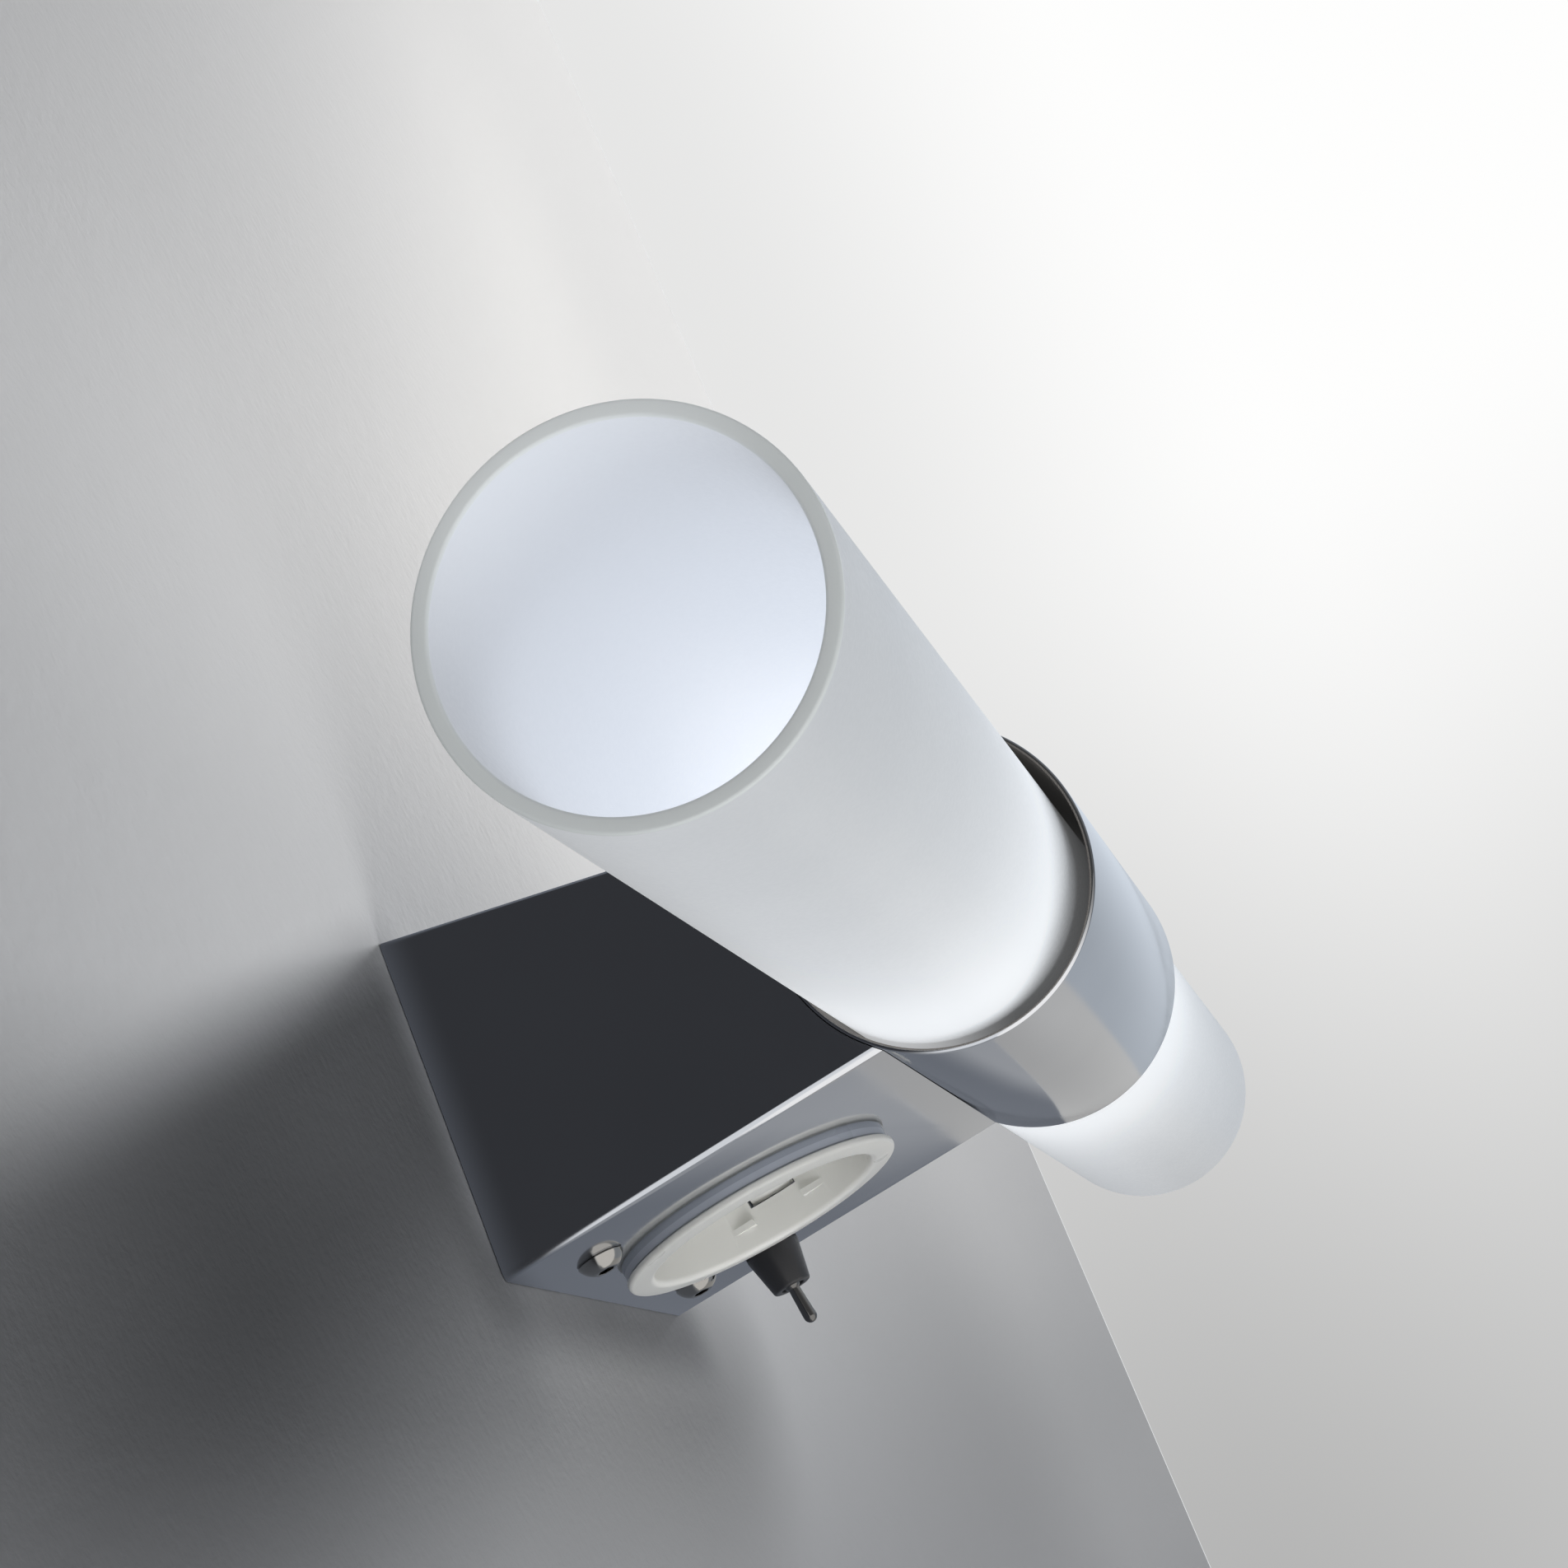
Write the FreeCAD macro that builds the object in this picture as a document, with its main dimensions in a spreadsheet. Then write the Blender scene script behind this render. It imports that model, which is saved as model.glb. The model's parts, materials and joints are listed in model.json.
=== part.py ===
import FreeCAD, Part
import math
import os
import re

import Sketcher

# A wall light for use beside a mirror. A frosted glass tube lies level along X, a polished
# sleeve holds it at its middle, and a tapered box behind the sleeve stands on the wall.
# The underside of the box carries a socket outlet, a toggle switch and two cover screws.
#
# Frame: the origin is on the wall, at the centre of the box's back. X runs along the tube,
# Y points into the wall, so a depth from the wall is a distance along -Y, and Z is up.

SIZES = {
    # glass tube
    "glass_radius": 22.5,
    "glass_wall": 1.9,
    "glass_length": 406.0,
    "glass_edge_bevel": 0.4,
    "glass_hole_radius": 5.0,
    # sleeve round the glass tube
    "sleeve_gap": 1.2,
    "sleeve_wall": 0.8,
    "sleeve_overhang": 0.5,
    "outer_pad_thickness": 0.3,
    "outer_pad_length": 60.0,
    "outer_pad_half_height": 9.0,
    # tapered housing
    "housing_length": 97.0,
    "housing_half_height": 27.5,
    "housing_taper": 7.3,
    "housing_wall": 1.2,
    "housing_edge_round": 1.3,
    "saddle_clearance": 0.1,
    "saddle_web": 1.2,
    # plate on the wall
    "plate_thickness": 1.5,
    "plate_clearance": 0.4,
    "tab_width": 12.0,
    "tab_length": 15.0,
    "wall_hole_radius": 2.4,
    "wall_hole_inset": 10.9,
    "wall_hole_rise": 2.0,
    "cable_hole_radius": 6.0,
    "cable_hole_offset": 24.0,
    "cable_hole_rise": 14.0,
    "grommet_bore_radius": 4.2,
    "grommet_lip": 1.5,
    "grommet_lip_thickness": 1.2,
    # cover screws
    "cover_screw_inset": 20.5,
    "cover_screw_depth": 9.3,
    "cover_screw_radius": 2.0,
    "cover_screw_length": 7.0,
    "cover_screw_head_radius": 3.8,
    "cover_screw_head_height": 2.2,
    "cover_screw_head_top_radius": 1.9,
    "cover_screw_head_dome": 3.6,
    "cover_screw_key": 1.45,
    "cover_screw_key_depth": 1.3,
    "screw_hole_clearance": 0.25,
    "thread_clearance": 0.05,
    # hollow threaded stem that ties glass, sleeve and housing together
    "stem_radius": 4.0,
    "stem_bore_radius": 2.9,
    "stem_clearance": 0.2,
    "stem_tail": 0.4,
    "stem_room": 0.3,
    "nut_thickness": 3.0,
    "nut_corner_radius": 6.9,
    "stem_washer_radius": 7.5,
    "stem_washer_thickness": 1.0,
    "inner_pad_thickness": 0.5,
    "inner_pad_length": 40.0,
    "inner_pad_half_height": 8.0,
    "pad_clearance": 0.05,
    # lamp carrier in the glass tube
    "carrier_thickness": 1.2,
    "carrier_width": 16.0,
    "carrier_half_length": 21.0,
    "carrier_rise_past_axis": 8.0,
    "carrier_wire_hole": 2.5,
    # lampholders
    "holder_radius": 9.0,
    "holder_length": 22.0,
    "holder_bore_depth": 14.0,
    "rivet_radius": 1.2,
    "rivet_offset": 6.6,
    "rivet_head_radius": 2.0,
    "rivet_head_height": 0.8,
    "rivet_depth": 5.0,
    # lamps
    "lamp_base_radius": 4.6,
    "lamp_base_clearance": 0.4,
    "lamp_base_sink": 3.0,
    "lamp_base_length": 9.0,
    "lamp_shoulder": 1.2,
    "lamp_pin_radius": 0.6,
    "lamp_pin_clearance": 0.6,
    "lamp_pin_spacing": 6.0,
    "lamp_pin_length": 7.0,
    "capsule_radius": 6.6,
    "capsule_wall": 1.0,
    "capsule_length": 31.0,
    "filament_radius": 0.8,
    "filament_length": 14.0,
    "filament_stem_radius": 0.4,
    # socket outlet in the underside
    "socket_depth": 29.2,
    "flange_width": 4.5,
    "flange_height": 2.9,
    "flange_edge_height": 2.0,
    "flange_round": 0.9,
    "recess_radius": 19.5,
    "recess_depth": 17.5,
    "recess_lip_round": 0.6,
    "cup_wall": 2.6,
    "cup_clearance": 0.3,
    "socket_floor": 2.0,
    "pin_hole_radius": 2.7,
    "pin_hole_spacing": 19.0,
    "guide_rib_width": 5.0,
    "guide_rib_height": 1.5,
    "guide_rib_setback": 2.5,
    "clip_slot_width": 11.0,
    "clip_slot_depth": 1.8,
    "clip_slot_setback": 2.0,
    "clip_width": 8.0,
    "clip_thickness": 0.6,
    "clip_bulge": 1.9,
    "strap_groove_clearance": 0.2,
    "base_inset": 4.1,
    "base_depth": 9.0,
    "contact_radius": 3.2,
    "contact_bore_radius": 2.4,
    "contact_length": 7.0,
    "contact_clearance": 0.1,
    "socket_screw_radius": 1.5,
    "socket_screw_head_radius": 2.9,
    "socket_screw_head_height": 1.4,
    "socket_screw_slot_width": 1.0,
    "socket_screw_slot_depth": 0.7,
    "latch_width": 8.0,
    "latch_thickness": 0.8,
    "latch_length": 9.0,
    "latch_foot": 2.2,
    "latch_clearance": 0.05,
    # toggle switch in the underside
    "switch_inset": 9.0,
    "switch_depth": 21.2,
    "bushing_radius": 2.95,
    "bushing_length": 6.95,
    "bushing_bore_radius": 2.45,
    "bushing_seat_length": 2.3,
    "bushing_hole_clearance": 0.15,
    "switch_washer_radius": 4.6,
    "switch_washer_thickness": 0.5,
    "switch_plate_thickness": 1.0,
    "switch_body_length": 13.0,
    "switch_body_width": 7.8,
    "switch_body_height": 10.5,
    "switch_body_wall": 0.8,
    "switch_floor": 1.2,
    "cone_base_radius": 4.9,
    "cone_tip_radius": 3.4,
    "cone_height": 7.4,
    "cone_edge": 0.3,
    "cone_bore_clearance": 0.05,
    "cone_mouth_radius": 2.1,
    "lever_pivot_height": 6.3,
    "lever_tilt": 10.0,
    "lever_reach": 7.9,
    "lever_root_radius": 1.0,
    "lever_tip_radius": 1.2,
    "lever_ball_radius": 1.7,
    "lever_ball_clearance": 0.08,
    "lever_tail_radius": 0.6,
    "lever_tail_reach": 13.7,
    "pivot_pin_radius": 0.4,
    "pivot_pin_clearance": 0.05,
    "rocker_distance": 14.3,
    "rocker_half_length": 4.6,
    "rocker_width": 3.0,
    "rocker_thickness": 0.5,
    "rocker_tilt": 8.0,
    "rocker_clearance": 0.1,
    "terminal_spacing": 4.7,
    "terminal_width": 2.0,
    "terminal_thickness": 0.8,
    "terminal_length": 4.0,
    # terminal block for the supply cable
    "block_length": 27.0,
    "block_depth": 11.0,
    "block_height": 13.0,
    "block_offset": 8.0,
    "block_headroom": 7.3,
    "block_poles": 3,
    "block_pole_pitch": 8.0,
    "block_sleeve_radius": 2.15,
    "block_sleeve_bore_radius": 1.4,
    "block_screw_radius": 1.2,
    "block_screw_recess": 1.0,
    # earth screw on the plate
    "earth_screw_inset": 13.9,
    "earth_screw_rise": 16.0,
    "earth_screw_radius": 1.9,
    "earth_head_radius": 3.5,
    "earth_head_height": 2.4,
    "earth_washer_radius": 4.5,
    "earth_washer_thickness": 0.8,
    # insulated leads
    "lead_radius": 1.2,
    "lead_bend": 2.7,
    "lead_gap": 0.3,
    "lead_climb": 14.0,
    "lead_entry": 3.0,
}

# Values that follow from the sizes.
DERIVED = {
    "glass_bore": "(glass_radius - glass_wall)",
    "sleeve_radius": "(glass_radius + sleeve_gap + sleeve_wall)",
    "sleeve_bore": "(sleeve_radius - sleeve_wall)",
    "sleeve_length": "(housing_length + 2 * sleeve_overhang)",
    "saddle_radius": "(sleeve_radius + saddle_clearance)",
    "recess_floor": "(recess_depth - flange_height)",
    "flange_radius": "(recess_radius + flange_width)",
    "cup_radius": "(recess_radius + cup_wall)",
    "base_radius": "(cup_radius - base_inset)",
    "cup_end": "(recess_floor + socket_floor)",
    "cup_reach": "(socket_depth + cup_radius * cos(housing_taper) - cup_end * sin(housing_taper))",
    "base_back": "(cup_end + base_depth)",
    "stem_end": "(cup_reach + stem_room)",
    "web_depth": "(stem_end + stem_tail + nut_thickness + stem_washer_thickness)",
    "sleeve_axis_depth": "(web_depth + saddle_web + saddle_radius)",
    "glass_axis_depth": "(sleeve_axis_depth - (sleeve_bore - outer_pad_thickness - glass_radius))",
    "inner_half_height": "(housing_half_height - housing_wall / cos(housing_taper))",
    "plate_half_height": "(inner_half_height - plate_thickness * tan(housing_taper) - plate_clearance)",
    "plate_half_length": "(housing_length / 2 - housing_wall - plate_clearance)",
    "wall_hole_offset": "(plate_half_length - wall_hole_inset)",
    "earth_screw_offset": "(plate_half_length - earth_screw_inset)",
    "cover_screw_offset": "(housing_length / 2 - cover_screw_inset)",
    "switch_offset": "(housing_length / 2 - switch_inset)",
    "tab_gap": "(housing_wall + plate_clearance)",
    "inner_pad_sag": "sqrt(glass_bore ^ 2 - inner_pad_half_height ^ 2)",
    "inner_pad_top": "(glass_axis_depth - inner_pad_sag + inner_pad_thickness)",
    "carrier_top": "(inner_pad_top + carrier_thickness)",
    "holder_bore_radius": "(lamp_base_radius + lamp_base_clearance)",
    "holder_slot_radius": "(lamp_pin_radius + lamp_pin_clearance)",
    "holder_face": "(carrier_half_length + carrier_thickness + holder_length)",
    "base_start": "(holder_face - lamp_base_sink)",
    "base_end": "(base_start + lamp_base_length)",
    "bushing_seat_radius": "(lever_ball_radius + lever_ball_clearance)",
    "switch_plate_start": "(housing_wall + switch_washer_thickness)",
    "switch_body_start": "(switch_plate_start + switch_plate_thickness)",
    "switch_body_end": "(switch_body_start + switch_body_height)",
    "rocker_place": "(rocker_distance - lever_pivot_height)",
    "block_bore_radius": "(block_sleeve_radius + thread_clearance)",
    "block_top": "(inner_half_height - block_headroom)",
    "block_rise": "(block_top - block_height / 2)",
    "block_floor": "(plate_thickness + block_depth)",
}

DOC = FreeCAD.newDocument("tube_wall_light")
NODES = {}
COUNT = {"made": 0}
HOME = "placement(vector(0; 0; 0); rotation(vector(0; 0; 1); 0))"
TURN_Z_TO_X = "placement(vector(0; 0; 0); rotation(vector(0; 1; 0); 90))"
TURN_Z_TO_Y = "placement(vector(0; 0; 0); rotation(vector(1; 0; 0); -90))"


# ---------------------------------------------------------------- sheet and expressions

def make_sheet():
    """The sheet of driving sizes: one row for each size, its name beside its number."""
    sheet = DOC.addObject("Spreadsheet::Sheet", "sizes")
    for row, (name, number) in enumerate(SIZES.items(), start=1):
        sheet.set(f"A{row}", name)
        sheet.set(f"B{row}", str(number))
        sheet.setAlias(f"B{row}", name)
    DOC.recompute()
    return sheet


def bind(text):
    """Writes an expression on size names as one on the sheet's cells."""
    def spelled(match):
        word = match.group()
        if word in DERIVED:
            return bind(DERIVED[word])
        return "sizes." + word if word in SIZES else word
    return re.sub(r"[a-z][a-z_]+", spelled, text)


def number(text):
    """The present value of an expression."""
    return float(SHEET.evalExpression(bind(text)))


def set_places(thing, place):
    """Ties an object's placement to an expression."""
    thing.setExpression("Placement", bind(place))


def shift(across, along, up):
    return f"placement(vector({across}; {along}; {up}); rotation(vector(0; 0; 1); 0))"


def turn(axis, degrees):
    return f"placement(vector(0; 0; 0); rotation(vector({axis}); {degrees}))"


def on_underside(offset, depth):
    """A place on the sloping underside: Z points into the box and Y towards the wall."""
    rise = f"-(housing_half_height - ({depth}) * tan(housing_taper))"
    return f"placement(vector({offset}; -({depth}); {rise}); rotation(vector(1; 0; 0); -housing_taper))"


# ---------------------------------------------------------------- building helpers

def unique(name):
    COUNT["made"] += 1
    return f"{name}_{COUNT['made']}"


def keep(name, thing):
    """Names a finished sub-part and lists it for export."""
    thing.Label = name
    NODES[name] = thing
    return thing


def origin_plane(body, role):
    return next(part for part in body.Origin.OriginFeatures if part.Role == role)


def add_arc(sketch, start, end, radius, side):
    """Adds an arc shorter than a half turn that bulges to the left (side 1) or right (-1)."""
    chord = FreeCAD.Vector(end[0] - start[0], end[1] - start[1], 0)
    left = FreeCAD.Vector(-chord.y, chord.x, 0).normalize()
    middle = FreeCAD.Vector((start[0] + end[0]) / 2, (start[1] + end[1]) / 2, 0)
    rise = math.sqrt(max(radius ** 2 - (chord.Length / 2) ** 2, 0.0))
    centre = middle - left * (side * rise)
    circle = Part.Circle(centre, FreeCAD.Vector(0, 0, 1), radius)
    first = math.atan2(start[1] - centre.y, start[0] - centre.x)
    last = math.atan2(end[1] - centre.y, end[0] - centre.x)
    if side > 0:
        first, last = last, first
    sketch.addGeometry(Part.ArcOfCircle(circle, first, last), False)
    return (2, 1) if side > 0 else (1, 2)


def outline(body, name, role, corners, arcs=None):
    """A closed sketch. Each corner is two expressions, and arcs gives, for the edge that starts
    at a corner, a radius and the side to which it bulges."""
    arcs = arcs or {}
    sketch = body.newObject("Sketcher::SketchObject", unique(name))
    sketch.AttachmentSupport = [(origin_plane(body, role), "")]
    sketch.MapMode = "FlatFace"
    places = [(number(across), number(up)) for across, up in corners]
    count = len(corners)
    ends = []
    for index in range(count):
        start, end = places[index], places[(index + 1) % count]
        if index in arcs:
            radius, side = arcs[index]
            ends.append(add_arc(sketch, start, end, number(radius), side))
        else:
            line = Part.LineSegment(FreeCAD.Vector(*start, 0), FreeCAD.Vector(*end, 0))
            sketch.addGeometry(line, False)
            ends.append((1, 2))
    for index in range(count):
        following = (index + 1) % count
        sketch.addConstraint(Sketcher.Constraint("Coincident", index, ends[index][1],
                                                 following, ends[following][0]))
    for index, corner in enumerate(corners):
        for kind, text, place in zip(("DistanceX", "DistanceY"), corner, places[index]):
            rule = Sketcher.Constraint(kind, -1, 1, index, ends[index][0], place)
            sketch.setExpression(f"Constraints[{sketch.addConstraint(rule)}]", bind(text))
    for index, (radius, _) in arcs.items():
        rule = Sketcher.Constraint("Radius", index, number(radius))
        sketch.setExpression(f"Constraints[{sketch.addConstraint(rule)}]", bind(radius))
    return sketch


def turned(name, corners, along, place=HOME, arcs=None):
    """A turned piece. Corners are (along the axis, out from it); the axis is X, Y or Z."""
    body = DOC.addObject("PartDesign::Body", unique(name))
    if along != "X":
        corners = [(out, length) for length, out in corners]
        arcs = {index: (radius, -side) for index, (radius, side) in (arcs or {}).items()}
    sketch = outline(body, name, "XZ_Plane" if along == "Z" else "XY_Plane", corners, arcs)
    turning = body.newObject("PartDesign::Revolution", unique(name))
    turning.Profile = sketch
    turning.ReferenceAxis = (sketch, ["H_Axis" if along == "X" else "V_Axis"])
    turning.Angle = 360
    body.Tip = turning
    set_places(body, place)
    return body


def padded(name, corners, length, place=HOME, role="YZ_Plane", arcs=None):
    """A flat outline thickened evenly to both sides of its plane."""
    body = DOC.addObject("PartDesign::Body", unique(name))
    pad = body.newObject("PartDesign::Pad", unique(name))
    pad.Profile = outline(body, name, role, corners, arcs)
    pad.Midplane = True
    pad.setExpression("Length", bind(length))
    body.Tip = pad
    set_places(body, place)
    return body


def rod(name, radius, length, place=HOME):
    """A plain cylinder that starts at its place and runs along its Z."""
    cylinder = DOC.addObject("Part::Cylinder", unique(name))
    cylinder.setExpression("Radius", bind(radius))
    cylinder.setExpression("Height", bind(length))
    set_places(cylinder, place)
    return cylinder


def block(name, across, along, up, place=HOME):
    """A box between three pairs of limits."""
    box = DOC.addObject("Part::Box", unique(name))
    for side, (low, high) in zip(("Length", "Width", "Height"), (across, along, up)):
        box.setExpression(side, bind(f"({high}) - ({low})"))
    set_places(box, f"{place} * {shift(across[0], along[0], up[0])}")
    return box


def hexagon(name, corner_radius, length, place):
    prism = DOC.addObject("Part::Prism", unique(name))
    prism.Polygon = 6
    prism.setExpression("Circumradius", bind(corner_radius))
    prism.setExpression("Height", bind(length))
    set_places(prism, place)
    return prism


def combined(kind, name, things):
    union = DOC.addObject(kind, unique(name))
    union.Shapes = things
    return union


def fuse(name, things):
    return combined("Part::MultiFuse", name, things)


def common(name, things):
    return combined("Part::MultiCommon", name, things)


def group(name, things):
    """Separate pieces that share one node."""
    together = DOC.addObject("Part::Compound", unique(name))
    together.Links = things
    return together


def cut(name, base, tools):
    result = DOC.addObject("Part::Cut", unique(name))
    result.Base = base
    result.Tool = tools[0] if len(tools) == 1 else fuse(name, tools)
    return result


def mirrored(builder):
    """Builds a piece at each end of the light: -1 is the left end and 1 the right."""
    return [builder(side) for side in (-1, 1)]


# ---------------------------------------------------------------- glass, sleeve and stem

def make_glass_tube():
    """The frosted tube, open at both ends, with a hole in its back for the stem."""
    half, bevel = "glass_length / 2", "glass_edge_bevel"
    corners = [
        (f"-{half} + {bevel}", "glass_bore"),
        (f"{half} - {bevel}", "glass_bore"),
        (half, f"glass_bore + {bevel}"),
        (half, f"glass_radius - {bevel}"),
        (f"{half} - {bevel}", "glass_radius"),
        (f"-{half} + {bevel}", "glass_radius"),
        (f"-{half}", f"glass_radius - {bevel}"),
        (f"-{half}", f"glass_bore + {bevel}"),
    ]
    tube = turned("glass_blank", corners, "X", shift("0", "-glass_axis_depth", "0"))
    hole = rod("glass_hole", "glass_hole_radius", "glass_radius",
               f"{shift('0', '-glass_axis_depth', '0')} * {TURN_Z_TO_Y}")
    keep("glass_tube", cut("glass_tube", tube, [hole]))


def ring(name, outer, inner, length, depth):
    """A plain ring about an axis along X, centred end to end."""
    half = f"({length}) / 2"
    corners = [(f"-{half}", inner), (half, inner), (half, outer), (f"-{half}", outer)]
    return turned(name, corners, "X", shift("0", f"-({depth})", "0"))


def stem_tool(name, radius):
    """A cutter along Y from the wall to the sleeve's axis."""
    return rod(name, radius, "sleeve_axis_depth",
               f"{shift('0', '-sleeve_axis_depth', '0')} * {TURN_Z_TO_Y}")


def make_sleeve():
    """The polished ring that holds the glass tube."""
    sleeve = ring("sleeve_blank", "sleeve_radius", "sleeve_bore", "sleeve_length", "sleeve_axis_depth")
    keep("sleeve", cut("sleeve", sleeve, [stem_tool("sleeve_hole", "stem_radius + stem_clearance")]))


def make_outer_pad():
    """A thin rubber strip between the back of the glass and the sleeve."""
    pad = ring("outer_pad_ring", "glass_radius + outer_pad_thickness", "glass_radius",
               "outer_pad_length", "glass_axis_depth")
    bite = block("outer_pad_bite", ("-outer_pad_length", "outer_pad_length"),
                 ("-glass_axis_depth", "0"), ("-outer_pad_half_height", "outer_pad_half_height"))
    strip = common("outer_pad_strip", [pad, bite])
    keep("outer_pad", cut("outer_pad", strip, [stem_tool("outer_pad_hole", "glass_hole_radius")]))


def make_inner_pad():
    """A rubber saddle: round against the inside of the glass and flat under the lamp carrier."""
    round_part = ring("inner_pad_round", "glass_bore - pad_clearance", "glass_bore / 4",
                      "inner_pad_length", "glass_axis_depth")
    bite = block("inner_pad_bite", ("-inner_pad_length", "inner_pad_length"),
                 ("-inner_pad_top", "0"), ("-inner_pad_half_height", "inner_pad_half_height"))
    saddle = common("inner_pad_saddle", [round_part, bite])
    hole = stem_tool("inner_pad_hole", "stem_radius + stem_clearance")
    keep("inner_pad", cut("inner_pad", saddle, [hole]))


def make_stem():
    """The hollow threaded stem, its two nuts and the washer inside the housing."""
    start = "stem_end"
    end = "carrier_top + nut_thickness + stem_tail"
    corners = [
        (f"-({end})", "stem_bore_radius"),
        (f"-({start})", "stem_bore_radius"),
        (f"-({start})", "stem_radius"),
        (f"-({end})", "stem_radius"),
    ]
    keep("stem", turned("stem", corners, "Y"))
    face = "web_depth"
    washer = [
        (f"-({face})", "stem_radius + thread_clearance"),
        (f"-({face} - stem_washer_thickness)", "stem_radius + thread_clearance"),
        (f"-({face} - stem_washer_thickness)", "stem_washer_radius"),
        (f"-({face})", "stem_washer_radius"),
    ]
    keep("stem_washer", turned("stem_washer", washer, "Y"))
    places = {
        "stem_nut_housing": f"-({face} - stem_washer_thickness)",
        "stem_nut_tube": "-(carrier_top)",
    }
    for name, near in places.items():
        far = near if name == "stem_nut_housing" else f"({near}) - nut_thickness"
        place = f"{shift('0', far, '0')} * {TURN_Z_TO_Y}"
        nut = hexagon(name, "nut_corner_radius", "nut_thickness", place)
        bore = rod(name, "stem_radius + thread_clearance", "nut_thickness", place)
        keep(name, cut(name, nut, [bore]))


# ---------------------------------------------------------------- housing and wall plate

def side_outline(half_height, start):
    """The side view of the box or of its cavity: a taper from the wall to the sleeve's axis."""
    far = f"{half_height} - sleeve_axis_depth * tan(housing_taper)"
    near = f"{half_height} - ({start}) * tan(housing_taper)"
    return [
        (f"-({start})", f"-({near})"),
        (f"-({start})", near),
        ("-sleeve_axis_depth", far),
        ("-sleeve_axis_depth", f"-({far})"),
    ]


def slanted_edges(shape):
    """The names of the edges that run from the wall to the front along the taper."""
    names = []
    for index, edge in enumerate(shape.Edges, start=1):
        run = edge.Vertexes[1].Point - edge.Vertexes[0].Point
        if abs(run.y) > abs(run.x) + abs(run.z):
            names.append(f"Edge{index}")
    return names


def make_housing():
    """The polished box: open at the wall, rounded along its long corners, hollow at the front
    to seat the sleeve, with its openings in the underside."""
    box = padded("housing_block", side_outline("housing_half_height", "0"), "housing_length")
    DOC.recompute()
    plain = box.Tip
    rounding = box.newObject("PartDesign::Fillet", "housing_rounding")
    rounding.Base = (plain, slanted_edges(plain.Shape))
    rounding.setExpression("Radius", bind("housing_edge_round"))
    hollow = padded("housing_hollow", side_outline("inner_half_height", "-housing_wall"),
                    "housing_length - 2 * housing_wall")
    web = ring("housing_web", "saddle_radius + saddle_web", "saddle_radius / 4",
               "housing_length + housing_wall", "sleeve_axis_depth")
    cavity = cut("housing_cavity", hollow, [web])
    left = shift("-(housing_length / 2 + housing_wall)", "-sleeve_axis_depth", "0")
    saddle = rod("housing_saddle", "saddle_radius", "housing_length + 2 * housing_wall",
                 f"{left} * {TURN_Z_TO_X}")
    keep("housing", cut("housing", box, [cavity, saddle] + underside_cutters()))


def underside_cutters():
    """The openings for the stem, the socket, the switch and the cover screws."""
    through = "3 * housing_wall"
    back = shift("0", "0", "-housing_wall")
    socket = rod("socket_hole", "cup_radius + cup_clearance", through,
                 f"{on_underside('0', 'socket_depth')} * {back}")
    switch = rod("switch_hole", "bushing_radius + bushing_hole_clearance", through,
                 f"{on_underside('switch_offset', 'switch_depth')} * {back}")
    stem = stem_tool("stem_hole", "stem_radius + stem_clearance")
    return [socket, switch, stem] + mirrored(
        lambda side: rod("cover_screw_hole", "cover_screw_radius + screw_hole_clearance", through,
                         f"{on_underside(f'{side} * cover_screw_offset', 'cover_screw_depth')} * {back}"))


def plate_tab(side, face):
    """A tab bent out of the plate, along the inside of the underside (1) or of the top (-1)."""
    middle = f"{side} * cover_screw_offset"
    across = (f"{middle} - tab_width / 2", f"{middle} + tab_width / 2")
    place = f"{turn('0; 1; 0', '180' if face < 0 else '0')} * {on_underside('0', '0')}"
    return block("plate_tab", across, ("-tab_length", "-plate_thickness / 2"),
                 ("tab_gap", "tab_gap + plate_thickness"), place)


def make_wall_plate():
    """The steel plate on the wall, with two tabs that the cover screws go into, two tabs
    that the housing hangs on, two screw slots and the cable entry."""
    half_length, half_height = "plate_half_length", "plate_half_height"
    sheet = block("plate_sheet", (f"-{half_length}", half_length), ("-plate_thickness", "0"),
                  (f"-{half_height}", half_height))
    tabs = [plate_tab(side, face) for side in (-1, 1) for face in (-1, 1)]
    plate = fuse("plate_blank", [sheet] + tabs)
    def hole(name, radius, across, up):
        place = f"{shift(across, '-2 * plate_thickness', up)} * {TURN_Z_TO_Y}"
        return rod(name, radius, "3 * plate_thickness", place)
    tools = mirrored(lambda side: hole("wall_hole", "wall_hole_radius", f"{side} * wall_hole_offset",
                                       "wall_hole_rise"))
    tools.append(hole("cable_hole", "cable_hole_radius", "-cable_hole_offset", "cable_hole_rise"))
    tools.append(hole("earth_hole", "earth_screw_radius + thread_clearance", "earth_screw_offset",
                      "earth_screw_rise"))
    tools += mirrored(lambda side: rod(
        "tab_hole", "cover_screw_radius + thread_clearance", "tab_gap + 2 * plate_thickness",
        on_underside(f"{side} * cover_screw_offset", "cover_screw_depth")))
    keep("wall_plate", cut("wall_plate", plate, tools))


def make_cable_grommet():
    """The rubber ring in the plate's cable entry, with a lip on the inside of the plate."""
    outer = "cable_hole_radius"
    corners = [
        ("0", "grommet_bore_radius"),
        ("0", outer),
        ("-plate_thickness", outer),
        ("-plate_thickness", f"{outer} + grommet_lip"),
        ("-plate_thickness - grommet_lip_thickness", f"{outer} + grommet_lip"),
        ("-plate_thickness - grommet_lip_thickness", "grommet_bore_radius"),
    ]
    place = shift("-cable_hole_offset", "0", "cable_hole_rise")
    keep("cable_grommet", turned("cable_grommet", corners, "Y", place))


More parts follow.
